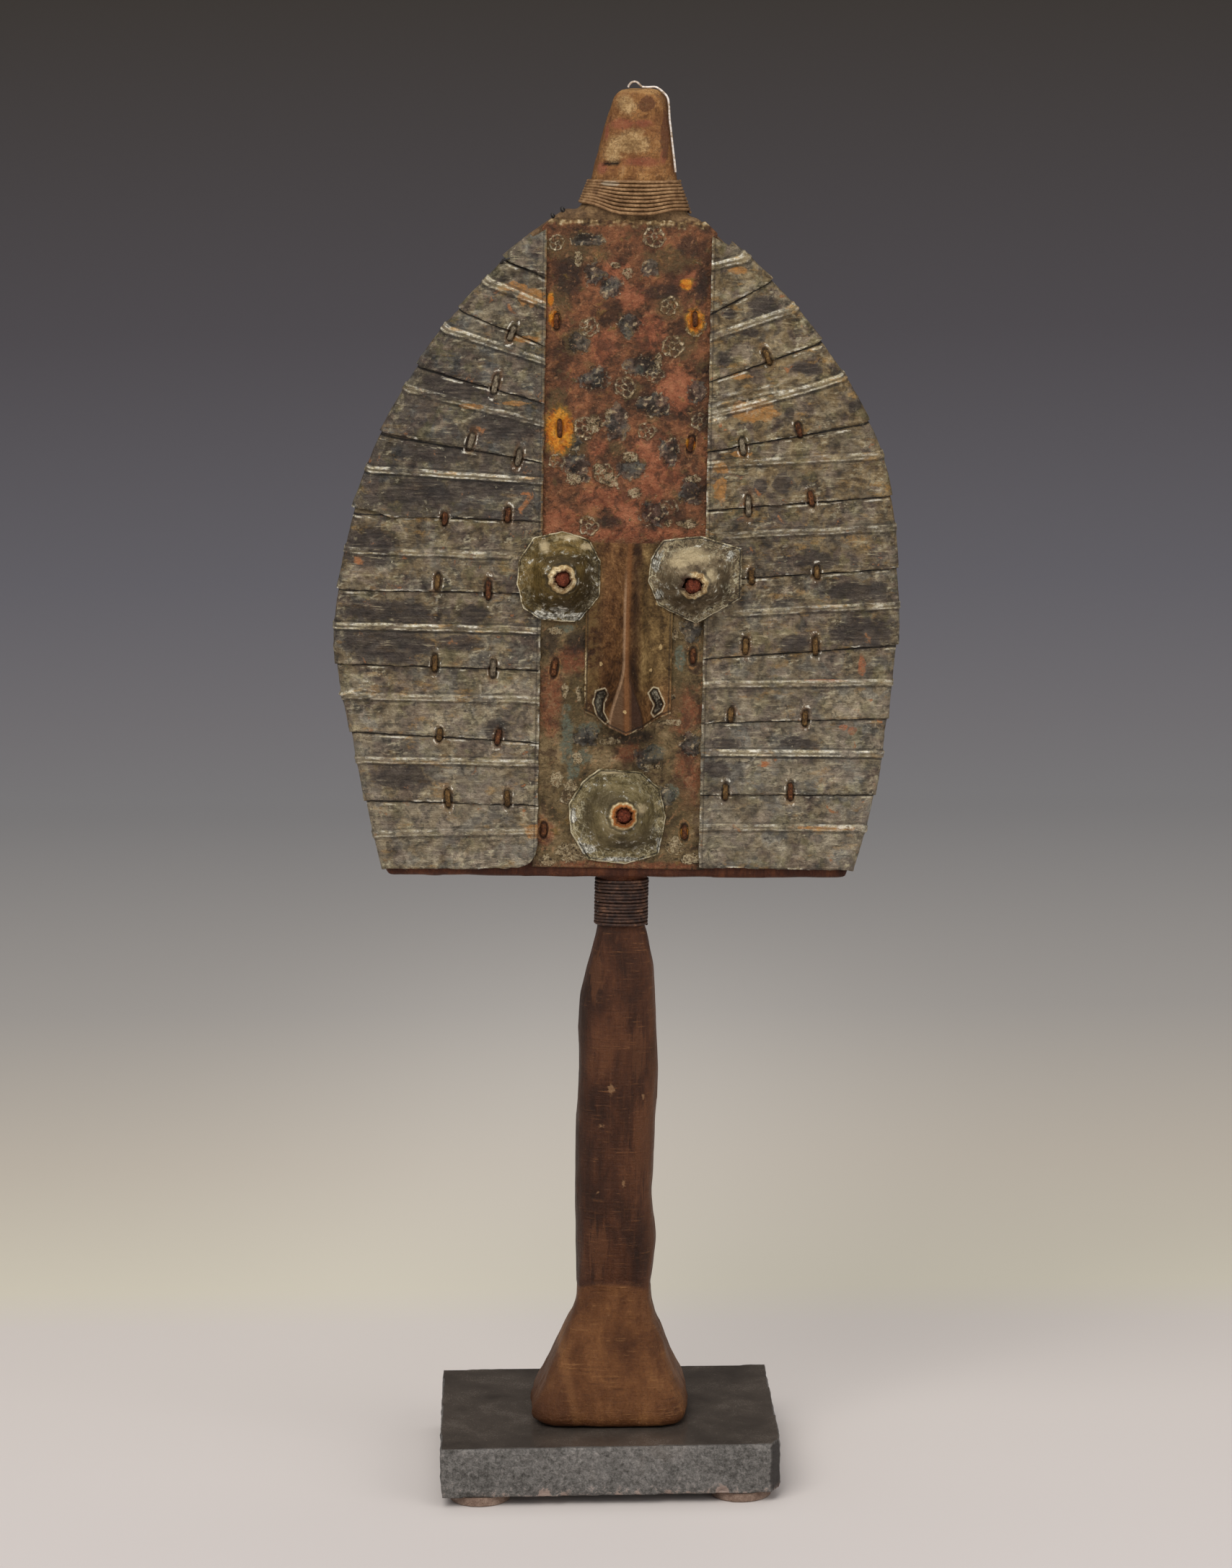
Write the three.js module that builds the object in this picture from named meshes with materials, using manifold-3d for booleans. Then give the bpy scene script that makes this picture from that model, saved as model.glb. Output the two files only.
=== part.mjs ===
// Reliquary figure carved from one piece of wood. Its leaf-shaped face is sheathed with strips of
// sheet metal and a copper panel, wire is wound above and below the face, and the foot stands on
// a stone slab with four pads. The figure leans a little to its left on the slab.
//
// Millimetres, +Z up, the face looks towards -Y. The origin is on the surface that the slab's pads
// stand on, below the middle of the whole work.
import * as THREE from 'three';
import { mergeVertices } from 'three/addons/utils/BufferGeometryUtils.js';
import Module from 'manifold-3d';

const wasm = await Module();
wasm.setup();

// Gap kept between pieces that touch
const fit = 0.3;

// Slab and pads
const slabWidth = 134.5;
const slabDepth = 107;
const slabHeight = 20;
const slabTurn = 1.5;
const cutCornerWidth = 4;
const cutCornerDepth = 8;
const padDiameter = 24;
const padHeight = 4;
const padInset = 3.5;
const padInsetFront = 0.5;

// Where the figure stands on the slab, and how far it leans, in degrees
const standOffset = 0.9;
const lean = 1.6;

// Carved wood below the face
const footHeight = 51.5;
const footWidth = 64.2;
const footDepth = 58;
const footSetTop = -1.5;
const footSetSole = -3.5;
const shaftLength = 143.5;
const shaftWidth = 32;
const shaftDepth = 26;
const neckLength = 24.5;
const neckWidth = 18.8;
const neckDepth = 15.8;
const neckSet = 0.8;

// Leaf-shaped board that carries the face
const boardHeight = 261.5;
const boardReach = 109.7;
const boardFront = 11;
const boardCrown = 2;
const boardThick = 17;
const boardEdge = 9;
const boardFootSlant = 1.9;
const boardTopSlant = 2.6;

// Topknot above the board
const knotHeight = 46.4;
const knotWidth = 42;
const knotDepth = 24;
const knotSet = -0.5;

// Copper panel down the middle of the face
const panelLeft = 32.8;
const panelRight = 30.9;
const panelThick = 0.6;
const panelMargin = 4;
const panelUnder = 2;

// Strips of sheet metal on the wings, each lapped over the next one down
const stripThick = 0.5;
const stripLap = 2.5;
const stripFold = 6;
const stripCurlOff = 2.4;
const ribWidth = 3.4;
const ribHeight = 0.8;

// Nose plate: its reach at each side, the rise of its ridge, the half width of the ridge and of the
// folded part at the top and at the bottom
const noseTop = 133;
const noseLength = 73.8;
const noseCornerRise = 7;
const noseLeft = 16.5;
const noseRight = 17.5;
const nosePlate = 0.8;
const noseRidgeTop = 1.6;
const noseRidge = 12.5;
const noseCrest = 0.7;
const noseTip = 6.5;
const noseTipStart = 0.62;
const noseFoldTop = 6.5;
const noseFold = 13.5;
const noseLean = 1.2;

// Raised sheets of the eyes and the mouth: the middle of each rim, its height on the board, its
// width, tallness and rise, and how far its tip is off the middle
const coneSheet = 0.7;
const coneHole = 3.7;
const coneFacet = 0.045;
const coneRimRise = 0.5;
const leftEye = {
  name: 'left_eye', x: -25.8, up: 119.8, width: 33, tall: 38, high: 12, tipAcross: 1.4, tipUp: 0,
};
const rightEye = {
  name: 'right_eye', x: 27.5, up: 119.4, width: 36.5, tall: 35.5, high: 12, tipAcross: -1.3, tipUp: -1.6,
};
const mouth = {
  name: 'mouth', x: -1.6, up: 25.2, width: 39, tall: 39, high: 12.5, tipAcross: 2.6, tipUp: 1.8,
};

// Nails through the eyes and the mouth
const nailHead = 6.4;
const nailHeadThick = 1.6;
const nailShank = 2.6;
const nailPoint = 3;
const nailBelow = 0.8;
const nailDepth = 9;

// Wire windings
const wireSides = 4;
const ringSides = 16;
const knotWire = 1.1;
const knotTurns = 9;
const knotWindStart = 1;
const knotWindLength = 10.4;
const knotWindTilt = 1.5;
const knotWindSag = 3.2;
const neckWire = 1.05;
const neckTurns = 14;
const neckWindLength = 18.6;

// Thin wire with a small loop, from the top of the knot down its right side. It runs a little
// in front of the side, at a turn in radians
const hangWire = 0.8;
const hangLoopHeight = 2.4;
const hangLoopWidth = 5;
const hangLoopLeft = -2.6;
const hangBack = -2.5;
const hangTurn = -0.45;
const hangReach = 32;

// Heights in the figure's own frame, from the sole of the foot
const neckFoot = footHeight + shaftLength;
const boardFoot = neckFoot + neckLength;
const boardTop = boardFoot + boardHeight;
const standHeight = padHeight + slabHeight + fit;
const leanAngle = THREE.MathUtils.degToRad(lean);

// Outline of the board: share of its height, then its left and right reach as shares of the reach
const leafOutline = [
  [0, 0.84, 0.813],
  [0.0975, 0.902, 0.881],
  [0.212, 0.963, 0.927],
  [0.308, 1.014, 0.95],
  [0.377, 1.027, 0.968],
  [0.48, 0.994, 0.958],
  [0.583, 0.941, 0.929],
  [0.683, 0.848, 0.858],
  [0.805, 0.681, 0.681],
  [0.9, 0.492, 0.487],
  [0.9885, 0.29, 0.26],
  [1, 0.235, 0.23],
];

// Carving of the foot: share of its height, then left, right and depth as shares of its halves
const footCarving = [
  [0, 0.89, 0.87, 0.93],
  [0.03, 1, 0.96, 0.985],
  [0.1, 1, 0.99, 1],
  [0.21, 0.92, 0.945, 0.93],
  [0.45, 0.735, 0.757, 0.72],
  [0.75, 0.527, 0.56, 0.5],
  [0.89, 0.452, 0.5, 0.415],
  [1, 0.442, 0.483, 0.387],
];

// Carving of the shaft, in the same way, with the knife's shallow waves along it
const shaftCarving = [
  [0.05, 0.905, 1.02, 0.96],
  [0.13, 0.94, 1.09, 1],
  [0.28, 1, 0.955, 1.02],
  [0.48, 0.995, 1.015, 1],
  [0.62, 0.935, 1.055, 1.02],
  [0.73, 0.975, 1.005, 1],
  [0.825, 0.94, 0.95, 0.97],
  [0.915, 0.76, 0.895, 0.85],
  [1, 0.57, 0.72, 0.66],
];

// Carving of the topknot, in the same way, from the board's top up
const knotCarving = [
  [0.01, 0.98, 1.01, 1],
  [0.23, 0.795, 0.83, 0.9],
  [0.6, 0.605, 0.725, 0.72],
  [0.935, 0.39, 0.615, 0.55],
  [1, 0.27, 0.465, 0.42],
];

// How square the carved sections are, where 2 is an ellipse
const footSquare = 5;
const shaftSquare = 3;
const neckSquare = 2.4;
const knotSquare = 3;

// Seams and ribs of each wing from the top down, at the panel and at the outline, as shares of the
// board's height. A strip lies between two seams, and has the rib of the same number.
const leftWing = {
  side: -1,
  edge: panelLeft,
  seams: [
    [0.972, 0.962], [0.903, 0.925], [0.8, 0.85], [0.715, 0.766], [0.627, 0.667], [0.539, 0.546],
    [0.431, 0.431], [0.316, 0.3185], [0.206, 0.2157], [0.1105, 0.1117], [0.0145, 0.006],
  ],
  ribs: [
    null, [0.8585, 0.891], [0.776, 0.8206], [0.684, 0.732], [0.599, 0.6115], [0.486, 0.49],
    [0.3755, 0.376], [0.27, 0.27], [0.174, 0.1736], [0.071, 0.061],
  ],
};
const rightWing = {
  side: 1,
  edge: panelRight,
  seams: [
    [0.965, 0.955], [0.852, 0.9], [0.751, 0.8125], [0.647, 0.6965], [0.56, 0.586], [0.455, 0.4775],
    [0.337, 0.362], [0.24, 0.251], [0.131, 0.134], [0.019, 0.017],
  ],
  ribs: [
    [0.921, 0.933], [0.816, 0.859], [0.7, 0.759], [0.628, 0.6455], [0.5215, 0.5375],
    [0.403, 0.4225], [0.298, 0.305], [0.195, 0.1965], [0.081, 0.083],
  ],
};

// Surfaces, from the colours that the photograph shows
const finishes = {
  wood: { color: 0x5a3a26, roughness: 0.7, metalness: 0 },
  copper: { color: 0x7d4a33, roughness: 0.5, metalness: 0.8 },
  sheet: { color: 0x77745f, roughness: 0.55, metalness: 0.7 },
  cone: { color: 0x7c7350, roughness: 0.45, metalness: 0.75 },
  iron: { color: 0x5d3322, roughness: 0.75, metalness: 0.5 },
  winding: { color: 0x4a3527, roughness: 0.6, metalness: 0.6 },
  pale: { color: 0xcfc9c0, roughness: 0.5, metalness: 0.4 },
  stone: { color: 0x55544f, roughness: 0.6, metalness: 0 },
  pad: { color: 0xb08d7a, roughness: 0.95, metalness: 0 },
};

const { lerp, smoothstep, clamp } = THREE.MathUtils;

// One closed body: shared vertices merged, and no face without an area
function weld(geometry) {
  const bare = new THREE.BufferGeometry();
  bare.setAttribute('position', geometry.getAttribute('position'));
  bare.setIndex(geometry.getIndex());
  const merged = mergeVertices(bare);
  const corners = merged.getIndex().array;
  const kept = [];
  for (let i = 0; i < corners.length; i += 3) {
    const [a, b, c] = corners.subarray(i, i + 3);
    if (a !== b && b !== c && c !== a) {
      kept.push(a, b, c);
    }
  }
  merged.setIndex(kept);
  merged.computeVertexNormals();
  return merged;
}

// Moves every vertex of a plain grid to its place on the real shape. The grid is closed first, so
// that the two sides of its seam move as one
function shape(grid, place) {
  const closed = weld(grid);
  const position = closed.getAttribute('position');
  const point = new THREE.Vector3();
  for (let i = 0; i < position.count; i += 1) {
    point.fromBufferAttribute(position, i);
    place(point);
    position.setXYZ(i, point.x, point.y, point.z);
  }
  return weld(closed);
}

// An upright cylinder of unit radius and height, around Z
function uprightGrid(sides, steps) {
  return new THREE.CylinderGeometry(1, 1, 1, sides, steps).rotateX(Math.PI / 2);
}

function toSolid(geometry) {
  const merged = weld(geometry);
  return new wasm.Manifold(new wasm.Mesh({
    numProp: 3,
    vertProperties: merged.getAttribute('position').array,
    triVerts: Uint32Array.from(merged.getIndex().array),
  }));
}

function toGeometry(solid) {
  const mesh = solid.getMesh();
  const geometry = new THREE.BufferGeometry();
  geometry.setAttribute('position', new THREE.BufferAttribute(mesh.vertProperties, 3));
  geometry.setIndex(new THREE.BufferAttribute(mesh.triVerts, 1));
  geometry.computeVertexNormals();
  return geometry;
}

function piece(name, geometry, finish) {
  const mesh = new THREE.Mesh(geometry, new THREE.MeshStandardMaterial(finishes[finish]));
  mesh.name = name;
  return mesh;
}

// A row of a carving table at any share of the height
function rowAt(table, share) {
  let upper = 1;
  while (upper < table.length - 1 && table[upper][0] < share) {
    upper += 1;
  }
  const [below, above] = [table[upper - 1], table[upper]];
  const part = (share - below[0]) / (above[0] - below[0]);
  return below.map((value, i) => lerp(value, above[i], part));
}

// The outline as a smooth curve through its shares
const leafCurve = new THREE.CubicInterpolant(
  Float32Array.from(leafOutline.map((row) => row[0])),
  Float32Array.from(leafOutline.flatMap((row) => [row[1], row[2]])),
  2,
  new Float32Array(2),
);

// How far the board reaches to one side at a share of its height
function leafReach(side, share) {
  const reach = leafCurve.evaluate(clamp(share, 0, 1));
  return boardReach * reach[side < 0 ? 0 : 1];
}

// Outward direction of the outline, as x and z
function leafNormal(side, share) {
  const step = 0.01;
  const low = Math.max(share - step, 0);
  const high = Math.min(share + step, 1);
  const across = side * (leafReach(side, high) - leafReach(side, low));
  const normal = new THREE.Vector2((high - low) * boardHeight, -across);
  return normal.multiplyScalar(side).normalize();
}

function heightAt(share) {
  return boardFoot + share * boardHeight;
}

function shareAt(height) {
  return (height - boardFoot) / boardHeight;
}

// The wood's front surface, a little crowned from side to side
function faceAt(x) {
  return -boardFront + boardCrown * (x / boardReach) ** 2;
}

function backAt(x) {
  return faceAt(x) + lerp(boardThick, boardEdge, Math.min((x / boardReach) ** 2, 1));
}

// A carved section: its left, right, front and back, and how square it is
function section(left, right, front, back, square) {
  return { left, right, front, back, square };
}

function ringPoint(at, angle, grow) {
  const power = 2 / at.square;
  const across = Math.cos(angle);
  const along = Math.sin(angle);
  const halfWidth = (at.right - at.left) / 2 + grow;
  const halfDepth = (at.back - at.front) / 2 + grow;
  return new THREE.Vector2(
    (at.left + at.right) / 2 + halfWidth * Math.sign(across) * Math.abs(across) ** power,
    (at.front + at.back) / 2 + halfDepth * Math.sign(along) * Math.abs(along) ** power,
  );
}

function footSection(share) {
  const [, left, right, deep] = rowAt(footCarving, share);
  const set = lerp(footSetSole, footSetTop, share);
  return section(
    (-left * footWidth) / 2,
    (right * footWidth) / 2,
    set - (deep * footDepth) / 2,
    set + (deep * footDepth) / 2,
    footSquare,
  );
}

function shaftSection(share) {
  const [, left, right, deep] = rowAt(shaftCarving, share);
  const halfWidth = shaftWidth / 2;
  const halfDepth = (deep * shaftDepth) / 2;
  return section(-left * halfWidth, right * halfWidth, -halfDepth, halfDepth, shaftSquare);
}

function neckSection() {
  const halfWidth = neckWidth / 2;
  const halfDepth = neckDepth / 2;
  return section(neckSet - halfWidth, neckSet + halfWidth, -halfDepth, halfDepth, neckSquare);
}

function knotSection(share) {
  const [, left, right, deep] = rowAt(knotCarving, share);
  const halfWidth = knotWidth / 2;
  const halfDepth = (deep * knotDepth) / 2;
  return section(-left * halfWidth, right * halfWidth, knotSet - halfDepth, knotSet + halfDepth, knotSquare);
}

// A solid through sections at heights; the sole is cut level with the slab although the figure leans
function loft(stations, levelSole) {
  const last = stations.length - 1;
  return shape(uprightGrid(ringSides, last), (point) => {
    const row = Math.round((point.z + 0.5) * last);
    const station = stations[row];
    const reach = Math.min(Math.hypot(point.x, point.y), 1);
    const ring = ringPoint(station.at, Math.atan2(point.y, point.x), 0);
    const middle = new THREE.Vector2(
      (station.at.left + station.at.right) / 2,
      (station.at.front + station.at.back) / 2,
    );
    const place = middle.lerp(ring, reach);
    const level = levelSole && row === 0 ? place.x * Math.tan(leanAngle) : 0;
    point.set(place.x, place.y, station.height + level);
  });
}

// Foot, shaft and neck, the neck running up into the board
function postSolid() {
  const neckRoot = 4;
  const neckInBoard = 20;
  const stations = [
    ...footCarving.map(([share]) => ({ height: share * footHeight, at: footSection(share) })),
    ...shaftCarving.map(([share]) => ({
      height: footHeight + share * shaftLength,
      at: shaftSection(share),
    })),
    { height: neckFoot + neckRoot, at: neckSection() },
    { height: boardFoot + neckInBoard, at: neckSection() },
  ];
  return toSolid(loft(stations, true));
}

// The topknot, with its root inside the board
function knotSolid() {
  const rootDepth = 34;
  const rootLevel = 3.5;
  const rootTaper = 0.6;
  const inset = 0.5;
  const root = knotSection(0);
  const front = inset - boardFront;
  const boardBack = boardThick - boardFront;
  const buried = section(
    rootTaper * root.left,
    rootTaper * root.right,
    front,
    boardBack - inset,
    knotSquare,
  );
  const level = section(root.left, root.right, front, root.back, knotSquare);
  const stations = [
    { height: boardTop - rootDepth, at: buried },
    { height: boardTop - rootLevel, at: level },
    ...knotCarving.map(([share]) => ({
      height: boardTop + share * knotHeight,
      at: knotSection(share),
    })),
  ];
  return toSolid(loft(stations, false));
}

function boardSolid() {
  const columns = 8;
  const rows = 26;
  const grid = new THREE.BoxGeometry(1, 1, 1, columns, 1, rows);
  return toSolid(shape(grid, (point) => {
    const across = point.x + 0.5;
    const share = point.z + 0.5;
    const x = lerp(-leafReach(-1, share), leafReach(1, share), across);
    const slant = lerp(boardFootSlant, -boardTopSlant, share) * point.x;
    const level = lerp(0, boardTopSlant / 2, share);
    point.set(x, point.y < 0 ? faceAt(x) : backAt(x), heightAt(share) + slant - level);
  }));
}

// Straight hole for a nail, from in front of the face into the wood
function nailHole(cone) {
  const holeSides = 8;
  const length = boardFront + cone.high + nailDepth;
  const radius = nailShank / 2 + fit;
  const hole = new THREE.CylinderGeometry(radius, radius, length, holeSides);
  const tip = faceAt(cone.x) + nailDepth + fit;
  hole.translate(cone.x + cone.tipAcross, tip - length / 2, boardFoot + cone.up + cone.tipUp);
  return toSolid(hole);
}

function woodCore() {
  let wood = boardSolid().add(postSolid()).add(knotSolid());
  for (const cone of [leftEye, rightEye, mouth]) {
    wood = wood.subtract(nailHole(cone));
  }
  return piece('wood_figure', toGeometry(wood), 'wood');
}

// Panel behind the strips' inner ends, kept inside the board's outline
function copperPanel() {
  const edgeGap = 1;
  const columns = 4;
  const rows = 8;
  const grid = new THREE.BoxGeometry(1, 1, 1, columns, 1, rows);
  const plate = shape(grid, (point) => {
    const height = lerp(boardFoot + panelMargin, boardTop - panelMargin, point.z + 0.5);
    const share = shareAt(height);
    const left = Math.min(panelLeft + panelUnder, leafReach(-1, share) - edgeGap);
    const right = Math.min(panelRight + panelUnder, leafReach(1, share) - edgeGap);
    const x = lerp(-left, right, point.x + 0.5);
    point.set(x, faceAt(x) - fit - (point.y < 0 ? panelThick : 0), height);
  });
  let panel = toSolid(plate);
  for (const cone of [leftEye, rightEye, mouth]) {
    panel = panel.subtract(nailHole(cone));
  }
  return piece('copper_panel', toGeometry(panel), 'copper');
}

// How much a rib stands up at a place; it is pressed flat under the eyes, whose rims are half a
// width away from their middles
function ribAt(x, height) {
  const flatTo = 0.58;
  const fullFrom = 0.75;
  const under = [leftEye, rightEye].map((eye) => {
    const away = Math.hypot((x - eye.x) / eye.width, (height - boardFoot - eye.up) / eye.tall);
    return smoothstep(away, flatTo, fullFrom);
  });
  return ribHeight * Math.min(...under);
}

// Rise of a strip from its upper to its lower edge, so that it clears the next one down
function stripRise(top, bottom) {
  const tall = boardHeight * Math.min(top[0] - bottom[0], top[1] - bottom[1]);
  return (stripThick + fit) / (1 - (2 * stripLap) / tall);
}

// One strip: from the panel across the wing and round the board's edge
function wingStrip(wing, number) {
  const lap = number > 0 ? stripLap / boardHeight : 0;
  const top = wing.seams[number].map((share) => share + lap);
  const bottom = wing.seams[number + 1];
  const rib = wing.ribs[number];
  const ribLine = rib ?? top.map((share, i) => (share + bottom[i]) / 2);
  const ribHalf = ribWidth / 2 / boardHeight;
  const rows = [
    { line: top, raised: 0 },
    { line: ribLine.map((share) => share + ribHalf), raised: 0 },
    { line: ribLine, raised: rib ? 1 : 0 },
    { line: ribLine.map((share) => share - ribHalf), raised: 0 },
    { line: bottom, raised: 0 },
  ];
  const rise = stripRise(top, bottom);
  const seat = fit + panelThick;
  const overPanel = panelUnder + 2 * fit;
  const offPanel = overPanel + stripCurlOff;
  const overPanelMost = 0.45;
  const offPanelMost = 0.7;
  const corner = 5;
  const columns = corner + 1;
  const grid = new THREE.BoxGeometry(1, 1, 1, columns, 1, rows.length - 1);
  const geometry = shape(grid, (point) => {
    const column = Math.round((0.5 + wing.side * point.x) * columns);
    const row = rows[Math.round((0.5 - point.z) * (rows.length - 1))];
    const width = leafReach(wing.side, row.line[1]) - wing.edge;
    const near = Math.min(offPanel, offPanelMost * width);
    const far = (Math.min(column, corner) - 2) / (corner - 2);
    const over = Math.min(overPanel, overPanelMost * width);
    const distance = [0, over][column] ?? lerp(near, width, far);
    const part = distance / width;
    const share = lerp(row.line[0], row.line[1], part);
    const topShare = lerp(top[0], top[1], part);
    const bottomShare = lerp(bottom[0], bottom[1], part);
    const x = wing.side * (wing.edge + distance);
    const down = (topShare - share) / (topShare - bottomShare);
    const off = fit + (column < 2 ? seat : 0) + rise * down
      + row.raised * ribAt(x, heightAt(share)) + (point.y < 0 ? stripThick : 0);
    const turn = leafNormal(wing.side, row.line[1]).multiplyScalar(column >= corner ? off : 0);
    const y = column > corner ? faceAt(x) + stripFold : faceAt(x) - off;
    point.set(x + turn.x, y, heightAt(share) + turn.y);
  });
  const name = `${wing.side < 0 ? 'left' : 'right'}_strip_${String(number + 1).padStart(2, '0')}`;
  return piece(name, geometry, 'sheet');
}

// Nose plate: flat at its sides, folded up to a ridge that widens to a tip
function nosePlateMesh() {
  const columns = 8;
  const rows = 8;
  const hollow = 1.3;
  const grid = new THREE.BoxGeometry(1, 1, 1, columns, 1, rows);
  const seat = 2 * fit + panelThick;
  const geometry = shape(grid, (point) => {
    const down = 0.5 - point.z;
    const step = Math.round(point.x * columns);
    const side = step < 0 ? -1 : 1;
    const flat = side < 0 ? noseLeft : noseRight;
    const crest = lerp(noseCrest, noseTip, smoothstep(down, noseTipStart, 1));
    const fold = lerp(noseFoldTop, noseFold, smoothstep(down, 0, 1));
    const offset = [0, crest, (crest + fold) / 2, fold, flat][Math.abs(step)];
    const slope = clamp((fold - offset) / (fold - crest), 0, 1);
    const ridge = lerp(noseRidgeTop, noseRidge, smoothstep(down, 0, 1)) * slope ** hollow;
    const hem = lerp(noseLength, noseLength - noseCornerRise, Math.abs(offset) / flat);
    const x = noseLean + side * offset;
    const off = seat + ridge + (point.y < 0 ? nosePlate : 0);
    point.set(x, faceAt(x) - off, boardFoot + noseTop - down * hem);
  });
  return piece('nose_plate', geometry, 'copper');
}

// How high a sheet's rim sits off the wood: over the nose plate within, over the strips outside
function coneSeat(cone, x) {
  const seamStep = 0.1;
  const climbFrom = 4;
  const climbTo = 1;
  const overNose = 3 * fit + panelThick + nosePlate;
  if (cone === mouth) {
    return 2 * fit + panelThick;
  }
  const edge = cone.x < 0 ? panelLeft : panelRight;
  const overStrip = 3 * fit + panelThick + stripThick + stripRise([1, 1], [1 - seamStep, 1 - seamStep]);
  return lerp(overNose, overStrip, smoothstep(Math.abs(x), edge - climbFrom, edge - climbTo));
}

// A hammered sheet raised to a cone, with an eight-sided rim and a torn hole at its tip
function coneMesh(cone) {
  const sides = 16;
  const facets = 8;
  const rimFrom = 0.6;
  const rimTo = 0.8;
  const inner = cone.high - coneSheet;
  const profile = [
    [1, 0],
    [1, coneSheet],
    [0.78, coneSheet + coneRimRise],
    [0.36, 0.68 * cone.high],
    [0, cone.high],
    [0, inner],
    [0.32, 0.64 * inner],
    [0.74, 0.6 * coneRimRise],
    [1, 0],
  ].map(([share, high]) => new THREE.Vector2(1 + share, high));
  const lathe = new THREE.LatheGeometry(profile, sides).rotateZ(Math.PI);
  const geometry = shape(lathe, (point) => {
    const angle = Math.atan2(point.z, point.x);
    const share = Math.hypot(point.x, point.z) - 1;
    const octagon = 1 - coneFacet * (0.5 - 0.5 * Math.cos(facets * angle));
    const reach = new THREE.Vector2(Math.cos(angle) * cone.width, Math.sin(angle) * cone.tall);
    reach.multiplyScalar(octagon / 2);
    const hole = new THREE.Vector2(Math.cos(angle), Math.sin(angle)).multiplyScalar(coneHole);
    const flat = hole.lerp(reach, share);
    const x = cone.x + flat.x + cone.tipAcross * (1 - share);
    const height = boardFoot + cone.up + flat.y + cone.tipUp * (1 - share);
    const rim = smoothstep(share, rimFrom, rimTo);
    const seat = lerp(coneSeat(cone, cone.x), coneSeat(cone, x), rim);
    point.set(x, faceAt(cone.x) - seat + point.y, height);
  });
  return piece(`${cone.name}_cone`, geometry, 'cone');
}

// A nail down the middle of a cone, its head just inside the torn hole
function nailMesh(cone) {
  const sides = 10;
  const head = nailHead / 2;
  const shank = nailShank / 2;
  const top = coneSeat(cone, cone.x) + cone.high - nailBelow;
  const profile = [
    [0, -nailDepth],
    [shank, nailPoint - nailDepth],
    [shank, top - nailHeadThick],
    [head, top - nailHeadThick],
    [head, top - nailHeadThick / 2],
    [0.6 * head, top],
    [0, top],
  ].map(([radius, high]) => new THREE.Vector2(radius, high));
  const geometry = weld(new THREE.LatheGeometry(profile, sides).rotateZ(Math.PI));
  const nail = piece(`${cone.name}_nail`, geometry, 'iron');
  nail.position.set(cone.x + cone.tipAcross, faceAt(cone.x), boardFoot + cone.up + cone.tipUp);
  return nail;
}

// Wire wound round a carved section, one corner of the wire for each corner of the wood
function windingMesh(name, wire, turns, heightFor, sectionFor) {
  const steps = turns * ringSides;
  const radius = wire / 2;
  const geometry = shape(uprightGrid(wireSides, steps), (point) => {
    const around = Math.round((point.z + 0.5) * steps);
    const angle = (2 * Math.PI * around) / ringSides;
    const height = heightFor(around / steps, angle);
    const at = sectionFor(height);
    const wood = ringPoint(at, angle, 0);
    const middle = ringPoint(at, angle, fit + radius);
    const out = middle.clone().sub(wood).normalize();
    const reach = radius * Math.min(Math.hypot(point.x, point.y), 1);
    const turn = Math.atan2(point.y, point.x);
    const outward = reach * Math.cos(turn);
    point.set(
      middle.x + outward * out.x,
      middle.y + outward * out.y,
      height - reach * Math.sin(turn),
    );
  });
  return piece(name, geometry, 'winding');
}

// Winding at the root of the topknot, its lowest turns sagging in front and sloping to the right
function knotWinding() {
  const sagNarrow = 10;
  const heightFor = (share, angle) => {
    const front = Math.max(-Math.sin(angle), 0) ** sagNarrow;
    const loose = 1 - share;
    const shifted = knotWindSag * front + knotWindTilt * Math.cos(angle);
    return boardTop + knotWindStart + share * knotWindLength - loose * shifted;
  };
  const sectionFor = (height) => knotSection((height - boardTop) / knotHeight);
  return windingMesh('topknot_winding', knotWire, knotTurns, heightFor, sectionFor);
}

// Winding of the neck, up to the underside of the board
function neckWinding() {
  const top = boardFoot - boardFootSlant / 2 - fit - neckWire / 2;
  const heightFor = (share) => top - (1 - share) * neckWindLength;
  return windingMesh('neck_winding', neckWire, neckTurns, heightFor, neckSection);
}

// Thin wire: a loop on top of the knot, then along its top and down its right side
function hangingWire() {
  const quarterEdges = 3;
  const steps = 26;
  const top = boardTop + knotHeight;
  const off = hangWire / 2 + fit;
  const bendRadius = 1.5;
  const sideStops = 5;
  const sideFor = (drop) => {
    const height = top - drop;
    const side = ringPoint(knotSection((height - boardTop) / knotHeight), hangTurn, off);
    return new THREE.Vector3(side.x, side.y, height);
  };
  const loop = [0, 0.5, 1].map((part) => {
    const rise = part === 0.5 ? hangLoopHeight : 0;
    return new THREE.Vector3(hangLoopLeft + part * hangLoopWidth, hangBack, top + off + rise);
  });
  const shoulder = knotSection(1).right;
  const sideTop = 2.4 * bendRadius;
  const drops = Array.from({ length: sideStops }, (_, i) => {
    return lerp(sideTop, hangReach, i / (sideStops - 1));
  });
  const route = new THREE.CatmullRomCurve3([
    ...loop,
    new THREE.Vector3(shoulder - bendRadius, hangBack, top + off),
    new THREE.Vector3(shoulder + bendRadius, hangBack, top + off - 0.8 * bendRadius),
    ...drops.map(sideFor),
  ]);
  const ring = new THREE.Shape();
  ring.absarc(0, 0, hangWire / 2, 0, 2 * Math.PI, false);
  const geometry = new THREE.ExtrudeGeometry(ring, {
    curveSegments: quarterEdges,
    steps,
    extrudePath: route,
  });
  return piece('hanging_wire', weld(geometry), 'pale');
}

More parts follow.
